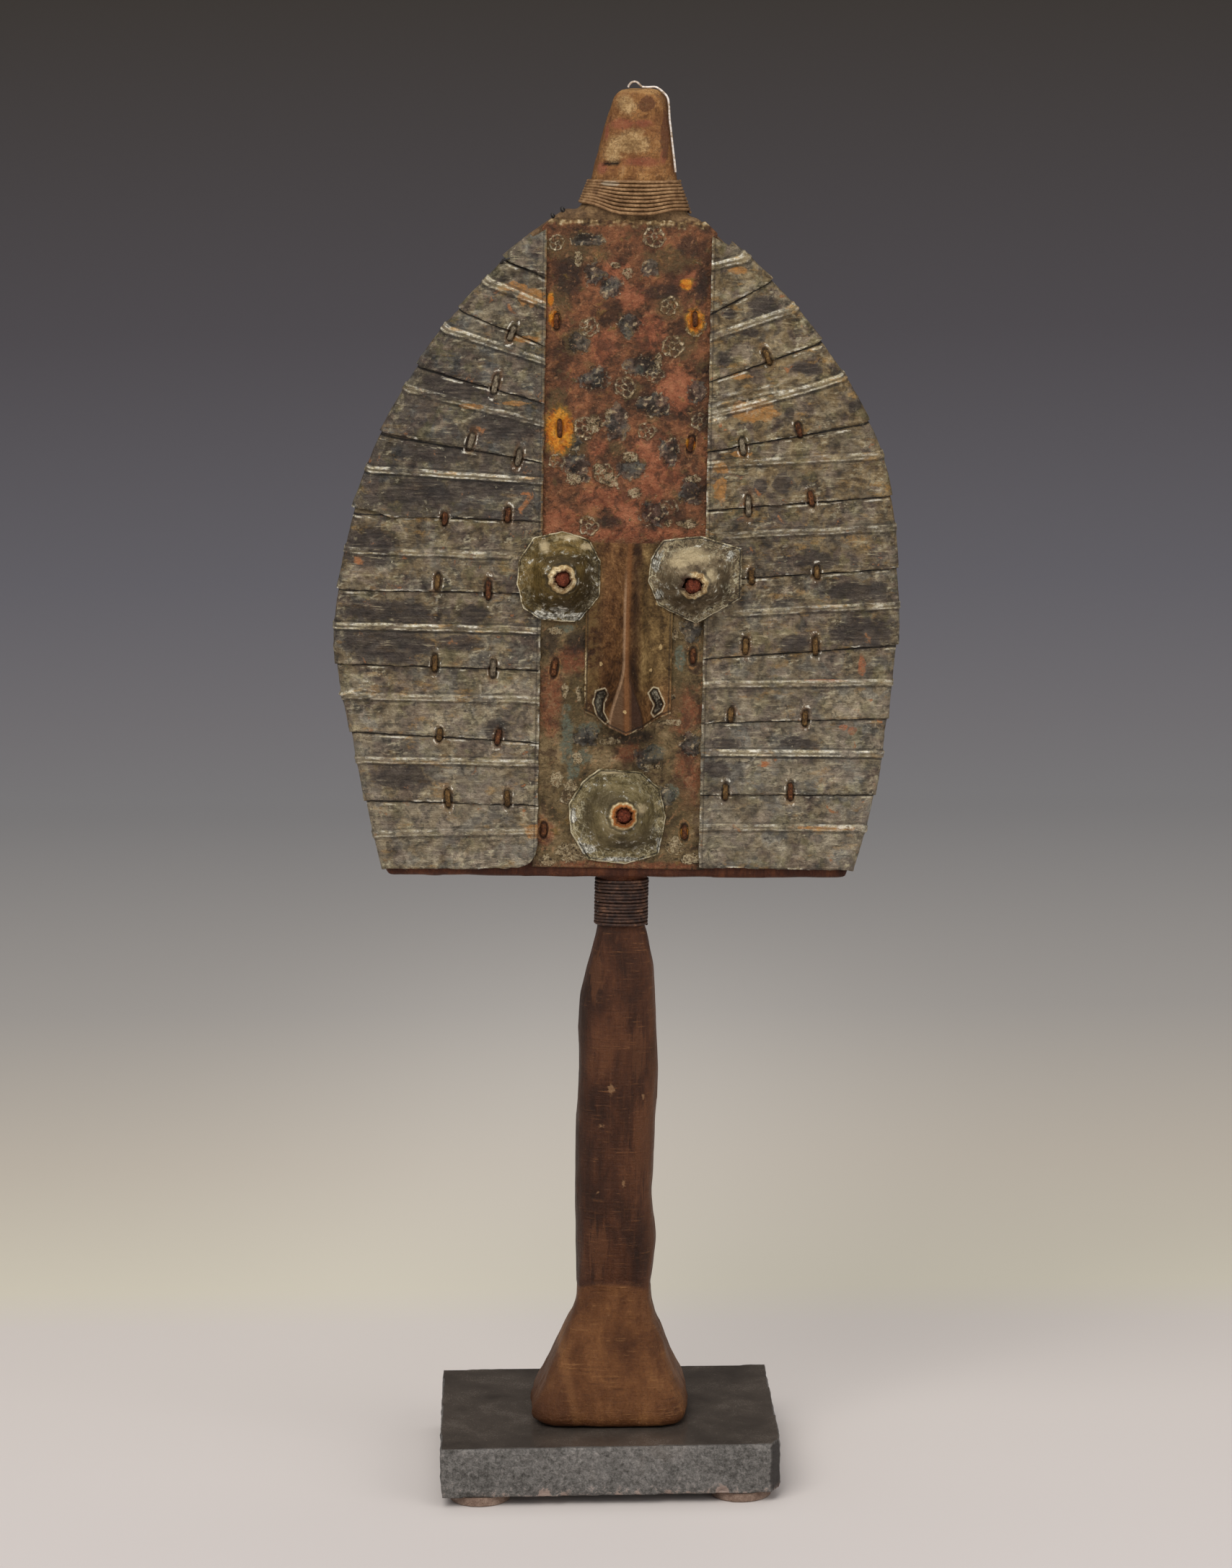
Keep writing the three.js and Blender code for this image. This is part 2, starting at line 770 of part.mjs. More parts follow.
// Stone slab with one cut corner at the front right
function slabMesh() {
  const right = slabWidth / 2;
  const front = -slabDepth / 2;
  const plan = new THREE.Shape();
  plan.moveTo(-right, front);
  plan.lineTo(right - cutCornerWidth, front);
  plan.lineTo(right, front + cutCornerDepth);
  plan.lineTo(right, -front);
  plan.lineTo(-right, -front);
  plan.closePath();
  const geometry = new THREE.ExtrudeGeometry(plan, { depth: slabHeight, bevelEnabled: false });
  const slab = piece('stone_slab', weld(geometry), 'stone');
  slab.position.z = padHeight;
  return slab;
}

function padMesh(side, end) {
  const padSides = 16;
  const thick = padHeight - fit;
  const radius = padDiameter / 2;
  const geometry = weld(new THREE.CylinderGeometry(radius, radius, thick, padSides).rotateX(Math.PI / 2));
  const pad = piece(`pad_${end < 0 ? 'front' : 'back'}_${side < 0 ? 'left' : 'right'}`, geometry, 'pad');
  const across = slabWidth / 2 - padInset - radius;
  const along = slabDepth / 2 - padInsetFront - radius;
  pad.position.set(side * across, end * along, thick / 2);
  return pad;
}

function baseGroup() {
  const group = new THREE.Group();
  group.add(slabMesh());
  for (const end of [-1, 1]) {
    for (const side of [-1, 1]) {
      group.add(padMesh(side, end));
    }
  }
  group.rotation.z = THREE.MathUtils.degToRad(slabTurn);
  return group;
}

function figureGroup() {
  const group = new THREE.Group();
  group.add(woodCore(), copperPanel());
  for (const wing of [leftWing, rightWing]) {
    for (let number = 0; number + 1 < wing.seams.length; number += 1) {
      group.add(wingStrip(wing, number));
    }
  }
  group.add(nosePlateMesh());
  for (const cone of [leftEye, rightEye, mouth]) {
    group.add(coneMesh(cone), nailMesh(cone));
  }
  group.add(knotWinding(), neckWinding(), hangingWire());
  group.position.set(standOffset, 0, standHeight);
  group.rotation.y = leanAngle;
  return group;
}

// The whole work, centred over the origin
const work = new THREE.Group();
work.add(baseGroup(), figureGroup());
const middle = new THREE.Box3().setFromObject(work, true).getCenter(new THREE.Vector3());
work.position.set(-middle.x, -middle.y, 0);

export default work;
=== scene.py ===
import math

import bmesh
import bpy
from mathutils import Matrix, Vector, noise


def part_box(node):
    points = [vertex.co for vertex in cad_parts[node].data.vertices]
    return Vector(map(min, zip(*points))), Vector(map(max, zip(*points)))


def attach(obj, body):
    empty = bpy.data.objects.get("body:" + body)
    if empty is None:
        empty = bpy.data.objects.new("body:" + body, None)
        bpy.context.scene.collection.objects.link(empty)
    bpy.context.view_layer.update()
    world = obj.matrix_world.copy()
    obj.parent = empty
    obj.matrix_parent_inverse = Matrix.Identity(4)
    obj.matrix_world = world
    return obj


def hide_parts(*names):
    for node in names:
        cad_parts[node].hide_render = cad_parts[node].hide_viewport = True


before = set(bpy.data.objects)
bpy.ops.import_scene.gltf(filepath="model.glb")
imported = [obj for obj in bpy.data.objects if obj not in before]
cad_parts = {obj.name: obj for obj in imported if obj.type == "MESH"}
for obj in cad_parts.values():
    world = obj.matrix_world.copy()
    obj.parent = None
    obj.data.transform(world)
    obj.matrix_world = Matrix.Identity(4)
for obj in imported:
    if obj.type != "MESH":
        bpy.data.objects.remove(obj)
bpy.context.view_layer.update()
print("frame loaded")

# without a seed, noise_vector differs from run to run
noise.seed_set(7)

# the figure is shaped upright in millimetres from the sole of its foot, then leaned and set down
figurePlace = {"lean": 1.6, "across": -5.75349, "up": 24.3}
soleAt = (figurePlace["across"] / 1000, 0, figurePlace["up"] / 1000)
leanTurn = math.radians(figurePlace["lean"])
toPart = Matrix.Translation(soleAt) @ Matrix.Rotation(leanTurn, 4, "Y") @ Matrix.Scale(0.001, 4)
toMetres = Matrix.Scale(0.001, 4)
fit = 0.3  # room between two pieces


# small helpers for shapes
def smooth(value, low, high):
    part = min(max((value - low) / (high - low), 0), 1)
    return part * part * (3 - 2 * part)


def between(a, b, part):
    return a + (b - a) * part


def wave(x, z, size, seed=0.0):
    return noise.noise(Vector((x / size, seed, z / size)))


def hump(value, width):
    return math.exp(-((value / width) ** 2))


def rowAt(table, share):
    upper = 1
    while upper < len(table) - 1 and table[upper][0] < share:
        upper += 1
    below, above = table[upper - 1], table[upper]
    part = (share - below[0]) / (above[0] - below[0])
    return [between(a, b, part) for a, b in zip(below, above)]


def patchAt(x, z, patches):
    # 1 in the middle of the nearest patch (x, z, half width, half height), 1/3 at its edge, 0 outside
    least = 1.5
    for px, pz, wide, tall in patches:
        across, along = (x - px) / wide, (z - pz) / tall
        if abs(across) < 1.5 and abs(along) < 1.5:
            least = min(least, math.hypot(across, along))
    return 1 - least / 1.5


def insideLoop(x, z, loop):
    inside = False
    for (ax, az), (bx, bz) in zip(loop, loop[1:] + loop[:1]):
        if (az > z) != (bz > z) and x < ax + (z - az) / (bz - az) * (bx - ax):
            inside = not inside
    return inside


def lineAway(x, z, line):
    # distance to a bent line, and the share of the way along it
    nearest, along = 1e9, 0
    for step, (start, end) in enumerate(zip(line, line[1:])):
        dx, dz = end[0] - start[0], end[1] - start[1]
        part = ((x - start[0]) * dx + (z - start[1]) * dz) / (dx * dx + dz * dz)
        part = min(max(part, 0), 1)
        away = math.hypot(x - start[0] - part * dx, z - start[1] - part * dz)
        if away < nearest:
            nearest, along = away, (step + part) / (len(line) - 1)
    return nearest, along


def makeSheet(columns, rows, place):
    # a grid bent to shape; place gives each vertex its point and what is painted on it
    sheet = bmesh.new()
    bmesh.ops.create_grid(sheet, x_segments=columns, y_segments=rows, size=1)
    for name in place(0.5, 0.5)[1]:
        sheet.verts.layers.float.new(name)
    layers = sheet.verts.layers.float
    for vert in sheet.verts:
        point, paint = place((vert.co.x + 1) / 2, (1 - vert.co.y) / 2)
        vert.co = point
        for name, amount in paint.items():
            vert[layers[name]] = amount
    return sheet


def newLayers(shape, *names):
    for name in names:
        shape.verts.layers.float.new(name)
    return {name: shape.verts.layers.float[name] for name in names}


def facesAway(shape):
    # an open sheet's faces point away from the wood, towards -Y
    shape.normal_update()
    lean = sum(face.normal.y * face.calc_area() for face in shape.faces)
    if lean > 0:
        bmesh.ops.reverse_faces(shape, faces=shape.faces)


def meshOf(shape, name):
    mesh = bpy.data.meshes.new(name)
    shape.to_mesh(mesh)
    shape.free()
    return mesh


def linked(name, data):
    made = bpy.data.objects.new(name, data)
    bpy.context.scene.collection.objects.link(made)
    return made


def dressed(shape, name, look):
    mesh = meshOf(shape, name)
    mesh.shade_smooth()
    mesh.materials.append(look)
    return linked(name, mesh)


def addPiece(shape, name, nodes, finish, thick=0, matrix=toPart):
    bmesh.ops.transform(shape, matrix=matrix, verts=shape.verts)
    if thick:
        facesAway(shape)
    else:
        bmesh.ops.recalc_face_normals(shape, faces=shape.faces)
    piece = dressed(shape, name, finishes[finish])
    if thick:
        wall = piece.modifiers.new("sheetThickness", "SOLIDIFY")
        wall.thickness = thick / 1000
        wall.offset = -1
    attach(piece, "root")
    if nodes:
        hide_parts(*nodes)


def finalShape(helper, dataSet):
    # the helper's shape with its modifiers or its bevel; the helper goes
    made = bpy.data.meshes.new_from_object(helper.evaluated_get(bpy.context.evaluated_depsgraph_get()))
    shape = bmesh.new()
    shape.from_mesh(made)
    data = helper.data
    bpy.data.objects.remove(helper)
    dataSet.remove(data)
    bpy.data.meshes.remove(made)
    return shape


def remeshed(node, voxel):
    # an even, closed skin over a CAD node's shape, with its loose triangles joined up
    shape = bmesh.new()
    shape.from_mesh(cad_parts[node].data)
    bmesh.ops.remove_doubles(shape, verts=shape.verts, dist=0.00001)
    helper = linked("skin", meshOf(shape, "skin"))
    skin = helper.modifiers.new("skin", "REMESH")
    skin.mode = "VOXEL"
    skin.voxel_size = voxel / 1000
    return finalShape(helper, bpy.data.meshes)


def wireAlong(points, radius, roundness=3):
    # a round wire along points, with closed ends
    path = bpy.data.curves.new("wirePath", "CURVE")
    path.dimensions = "3D"
    path.bevel_depth = radius
    path.bevel_resolution = roundness
    path.use_fill_caps = True
    line = path.splines.new("POLY")
    line.points.add(len(points) - 1)
    for spot, point in zip(line.points, points):
        spot.co = (*point, 1)
    shape = finalShape(linked("wirePath", path), bpy.data.curves)
    bmesh.ops.remove_doubles(shape, verts=shape.verts, dist=0.0005)
    return shape


# small helpers for materials
def tone(red, green, blue):
    # a colour as a screen shows it, 0 to 255
    return tuple(((part / 255 + 0.055) / 1.055) ** 2.4 for part in (red, green, blue)) + (1,)


class Value:
    # a socket in a material: arithmetic on it adds Math nodes
    def __init__(self, look, socket):
        self.look = look
        self.socket = socket

    def __add__(self, other):
        return self.look.maths("ADD", self, other)

    def __radd__(self, other):
        return self.look.maths("ADD", other, self)

    def __sub__(self, other):
        return self.look.maths("SUBTRACT", self, other)

    def __rsub__(self, other):
        return self.look.maths("SUBTRACT", other, self)

    def __mul__(self, other):
        return self.look.maths("MULTIPLY", self, other)

    def __rmul__(self, other):
        return self.look.maths("MULTIPLY", other, self)

    def __abs__(self):
        return self.look.maths("ABSOLUTE", self)

    def orMore(self, other):
        return self.look.maths("MAXIMUM", self, other)

    def ease(self, low, high, start=0.0, end=1.0):
        return self.look.node("ShaderNodeMapRange", {"interpolation_type": "SMOOTHSTEP"}, {
            "Value": self, "From Min": low, "From Max": high, "To Min": start, "To Max": end,
        })

    def line(self, at, half, soft):
        # 1 where the value is within a half width of a place
        return abs(self - at).ease(half, half + soft, 1.0, 0.0)

    def ramp(self, stops):
        chosen = [(position, tone(*color)) for position, color in stops]
        return self.look.node("ShaderNodeValToRGB", {"stops": chosen}, {0: self})


class Look:
    # one finish and its nodes; its patterns lie over self.where
    def __init__(self, name, placed=True):
        self.material = bpy.data.materials.new(name)
        self.material.use_nodes = True
        self.tree = self.material.node_tree
        self.tree.nodes.clear()
        self.where = self.place() if placed else None

    def node(self, kind, settings=None, values=None, output=0):
        made = self.tree.nodes.new(kind)
        for setting, chosen in (settings or {}).items():
            if setting == "stops":
                ramp = made.color_ramp
                while len(ramp.elements) < len(chosen):
                    ramp.elements.new(1)
                for element, (position, color) in zip(ramp.elements, chosen):
                    element.position = position
                    element.color = color
            else:
                setattr(made, setting, chosen)
        for socket, value in (values or {}).items():
            if isinstance(value, Value):
                self.tree.links.new(value.socket, made.inputs[socket])
            else:
                made.inputs[socket].default_value = value
        return Value(self, made.outputs[output]) if made.outputs else None

    def maths(self, operation, *values):
        return self.node("ShaderNodeMath", {"operation": operation}, dict(enumerate(values)))

    def added(self, *vectors):
        return self.node("ShaderNodeVectorMath", {"operation": "ADD"}, dict(enumerate(vectors)))

    def point(self, *parts):
        return self.node("ShaderNodeCombineXYZ", values=dict(enumerate(parts)))

    def place(self):
        # where a point is, in millimetres in the upright figure
        return self.node("ShaderNodeMapping", {"vector_type": "TEXTURE"}, {
            "Vector": self.node("ShaderNodeTexCoord", output=3),
            "Location": soleAt, "Rotation": (0, leanTurn, 0), "Scale": (0.001, 0.001, 0.001),
        })

    def stretch(self, *scale):
        values = {"Vector": self.where, "Scale": scale}
        return self.node("ShaderNodeMapping", {"vector_type": "POINT"}, values)

    def mottle(self, size, detail=4, rough=0.6, seed=0.0, warp=0.0, where=None):
        return self.node("ShaderNodeTexNoise", {"noise_dimensions": "4D"}, {
            "Vector": where or self.where, "W": seed, "Scale": 1 / size, "Detail": detail,
            "Roughness": rough, "Distortion": warp,
        })

    def slopeLight(self, size, step, detail=3, rough=0.6, seed=0.0, where=None):
        # painted light and shade: which slopes of a pattern face up and to the left
        where = where or self.where
        moved = self.added(where, (-step, 0, step))
        here, there = [self.mottle(size, detail, rough, seed, 0, spot) for spot in (where, moved)]
        return here - there

    def veins(self, size, seed, warp=0.6):
        # thin winding lines: 1 on a line, falling to 0 beside it
        return 1 - abs(self.mottle(size, 3, 0.55, seed, warp) - 0.5).ease(0.0, 0.035)

    def painted(self, name):
        return self.node("ShaderNodeAttribute", {"attribute_name": name}, output=2)

    def patch(self, name, noisy, ragged=1.6, soft=0.08):
        # a painted patch with a torn edge
        return (self.painted(name) + (noisy - 0.5) * ragged).ease(0.34 - soft, 0.34 + soft)

    def mix(self, factor, first, second):
        settings = {"data_type": "RGBA", "clamp_factor": True}
        return self.node("ShaderNodeMix", settings, {0: factor, 6: first, 7: second}, 2)

    def cover(self, color, *layers):
        # lays colours over one another, each with how much of it shows
        for factor, shade in layers:
            color = self.mix(factor, color, shade if isinstance(shade, Value) else tone(*shade))
        return color

    def parts(self):
        split = self.node("ShaderNodeSeparateXYZ", values={0: self.where}).socket.node
        return [Value(self, socket) for socket in split.outputs]

    def finish(self, color, roughness, metallic=0.0, relief=None, depth=0.0003, shine=0.5):
        values = {
            "Base Color": color, "Roughness": roughness, "Metallic": metallic, "Specular IOR Level": shine,
        }
        if relief:
            values["Normal"] = self.node("ShaderNodeBump", values={
                "Height": relief, "Distance": depth, "Strength": 1.0,
            })
        surface = self.node("ShaderNodeBsdfPrincipled", values=values)
        self.node("ShaderNodeOutputMaterial", values={"Surface": surface})
        return self.material


# the board: its outline, its front and its back
board = {"foot": 219.5, "height": 261.5, "reach": 109.7, "front": 11, "crown": 2}
boardTop = board["foot"] + board["height"]
leafOutline = [
    (0, 0.84, 0.813), (0.0975, 0.902, 0.881), (0.212, 0.963, 0.927), (0.308, 1.014, 0.95),
    (0.377, 1.027, 0.968), (0.48, 0.994, 0.958), (0.583, 0.941, 0.929), (0.683, 0.848, 0.858),
    (0.805, 0.681, 0.681), (0.9, 0.492, 0.487), (0.9885, 0.29, 0.26), (1, 0.235, 0.23),
]


def leafReach(side, share):
    # a smooth curve through the outline's shares
    column = 1 if side < 0 else 2
    share = min(max(share, 0), 1)
    last = len(leafOutline) - 1
    step = 0
    while step < last - 1 and leafOutline[step + 1][0] < share:
        step += 1

    def slope(i):
        low, high = leafOutline[max(i - 1, 0)], leafOutline[min(i + 1, last)]
        return (high[column] - low[column]) / (high[0] - low[0])

    start, end = leafOutline[step], leafOutline[step + 1]
    span = end[0] - start[0]
    t = (share - start[0]) / span
    curve = (
        (2 * t ** 3 - 3 * t ** 2 + 1) * start[column]
        + (t ** 3 - 2 * t ** 2 + t) * span * slope(step)
        + (3 * t ** 2 - 2 * t ** 3) * end[column]
        + (t ** 3 - t ** 2) * span * slope(step + 1)
    )
    return board["reach"] * curve


def leafNormal(side, share):
    low, high = max(share - 0.01, 0), min(share + 0.01, 1)
    across = leafReach(side, high) - leafReach(side, low)
    normal = Vector((side * (high - low) * board["height"], -across))
    return normal.normalized()


def faceAt(x):
    return -board["front"] + board["crown"] * (x / board["reach"]) ** 2


def heightAt(share):
    return board["foot"] + share * board["height"]


def hammered(x, z):
    # the slow unevenness that the sheets take from the wood
    return 0.26 * wave(x, z, 15, 3.3) + 0.16 * wave(x, z, 6, 8.1)


def crumpled(x, z, seed):
    # small dents and creases of a thin sheet
    crease = 1 - min(abs(wave(x, z, 4.5, seed)) / 0.07, 1)
    return 0.1 * wave(x, z, 2.4, seed + 3) + 0.13 * crease


# finishes
def woodLook():
    look = Look("carvedWood")
    x, y, z = look.parts()
    grain = look.mottle(1.3, 5, 0.65, 1.0, 0.4, where=look.stretch(1, 1, 0.06))
    broad = look.mottle(11, 5, 0.6, 2.0, 0.5, where=look.stretch(1, 1, 0.42))
    blotch = look.mottle(5.5, 6, 0.66, 7.0, 0.5)
    fine = look.mottle(1.1, 4, 0.7, 8.0)
    pores = look.mottle(0.5, 3, 0.7, 9.0, where=look.stretch(1, 1, 0.18))
    marks = look.mottle(0.8, 4, 0.66, 12.0, where=look.stretch(0.07, 0.07, 1))
    shaft = (broad * 0.8 + grain * 0.2).ramp([
        (0.36, (43, 23, 12)), (0.46, (60, 33, 18)), (0.54, (76, 43, 24)), (0.64, (96, 58, 34)),
    ])
    shaft = look.cover(
        shaft,
        (grain.ease(0.54, 0.72) * 0.35, (42, 22, 12)),
        (pores.ease(0.58, 0.7) * 0.4, (32, 17, 10)),
        (marks.ease(0.56, 0.66) * blotch.ease(0.42, 0.56) * 0.6, (132, 88, 54)),
        (marks.ease(0.44, 0.36) * 0.3, (40, 22, 12)),
        ((x + 6 * broad).ease(-5, -12) * 0.6, (46, 25, 13)),
        ((x + 5 * broad).ease(14, 18) * 0.4, (112, 68, 36)),
        ((z + 18 * blotch).ease(60, 44) * 0.4, (92, 50, 26)),
        (look.patch("worn", grain, 2.4, 0.2) * 0.4, (112, 70, 42)),
    )
    foot = (broad * 0.7 + blotch * 0.15 + fine * 0.15).ramp([
        (0.36, (70, 39, 18)), (0.48, (96, 58, 29)), (0.56, (112, 71, 38)), (0.68, (140, 95, 54)),
    ])
    # the foot's left side is cut as a facet of its own, painted darker, with a painted highlight along its
    # edge
    facet = x + z * 0.24 + 3 * (broad - 0.5)
    foot = look.cover(
        foot,
        (grain.ease(0.5, 0.75) * 0.4, (70, 40, 20)),
        (pores.ease(0.58, 0.7) * 0.4, (58, 33, 18)),
        (marks.ease(0.56, 0.66) * blotch.ease(0.4, 0.56) * 0.55, (152, 108, 66)),
        (marks.ease(0.42, 0.34) * 0.45, (62, 36, 20)),
        ((z + 6 * blotch).ease(8, 2) * 0.5, (72, 38, 20)),
        (facet.ease(-13.5, -16.5) * 0.5, (74, 42, 21)),
        (facet.line(-12.6, 0.3, 2.4) * 0.22, (150, 104, 62)),
    )
    # the foot begins on a line that dips at its middle
    color = look.mix((z + 3 * broad + x * x * 0.012).ease(56.5, 54.5), shaft, foot)
    face = (broad * 0.45 + grain * 0.25 + blotch * 0.3).ramp([
        (0.36, (42, 20, 12)), (0.5, (72, 37, 21)), (0.62, (108, 62, 36)),
    ])
    face = look.cover(
        face, (pores.ease(0.58, 0.7) * 0.5, (34, 17, 10)), (grain.ease(0.56, 0.7) * 0.4, (40, 20, 12)))
    color = look.mix(z.ease(212, 219), color, face)
    shoulder = (blotch * 0.6 + fine * 0.4).ramp([
        (0.38, (72, 53, 35)), (0.5, (112, 86, 58)), (0.62, (152, 122, 84)),
    ])
    color = look.mix((z + 8 * blotch).ease(464, 468) * y.ease(3, 0), color, shoulder)
    knot = (blotch * 0.6 + fine * 0.25 + broad * 0.15).ramp([
        (0.36, (84, 51, 25)), (0.45, (120, 79, 41)), (0.52, (146, 101, 56)), (0.6, (172, 127, 76)),
        (0.68, (204, 164, 110)),
    ])
    redBrown = look.mottle(5, 4, 0.6, 11.0, 0.6)
    bands = z.ease(506, 511) * z.ease(519, 514) + z.ease(494, 498) * z.ease(505, 500)
    knot = look.cover(
        knot,
        (grain.ease(0.52, 0.74) * 0.5, (82, 52, 28)),
        (fine.ease(0.6, 0.7) * 0.5, (178, 142, 98)),
        (bands * redBrown.ease(0.4, 0.56) * 0.3, (118, 66, 44)),
        (look.patch("pale", blotch, 1.6, 0.25) * 0.7, (fine * 0.5 + blotch * 0.5).ramp([
            (0.4, (124, 95, 58)), (0.5, (160, 130, 86)), (0.6, (200, 170, 122)),
        ])),
        (look.patch("red", blotch, 1.4, 0.25) * 0.6, (134, 70, 52)),
        # painted shade towards the knot's sides
        ((abs(x - 0.6) + (z - 500) * 0.22 + 5 * blotch).ease(15.5, 18.5) * 0.6, (86, 57, 29)),
        (look.patch("darkened", blotch) * 0.75, (82, 46, 27)),
        ((z + 3 * blotch).ease(526.5, 528) * 0.6, (172, 132, 80)),
        (look.veins(4, 4.0) * blotch.ease(0.38, 0.52) * 0.6, (84, 56, 32)),
    )
    color = look.mix(z.ease(488, 492), color, knot)
    color = look.cover(
        color,
        # painted shade in the carved slot
        (look.painted("hollow"), (24, 14, 10)),
        (look.patch("nicked", fine, 1.6, 0.14) * 0.8, (142, 108, 76)),
    )
    relief = 0.6 * grain + 0.6 * broad + 0.5 * fine + 0.4 * pores + 0.3 * marks
    roughness = broad.ease(0.3, 0.7, 0.5, 0.36)
    return look.finish(color, roughness, 0, relief, 0.0014, 0.22)


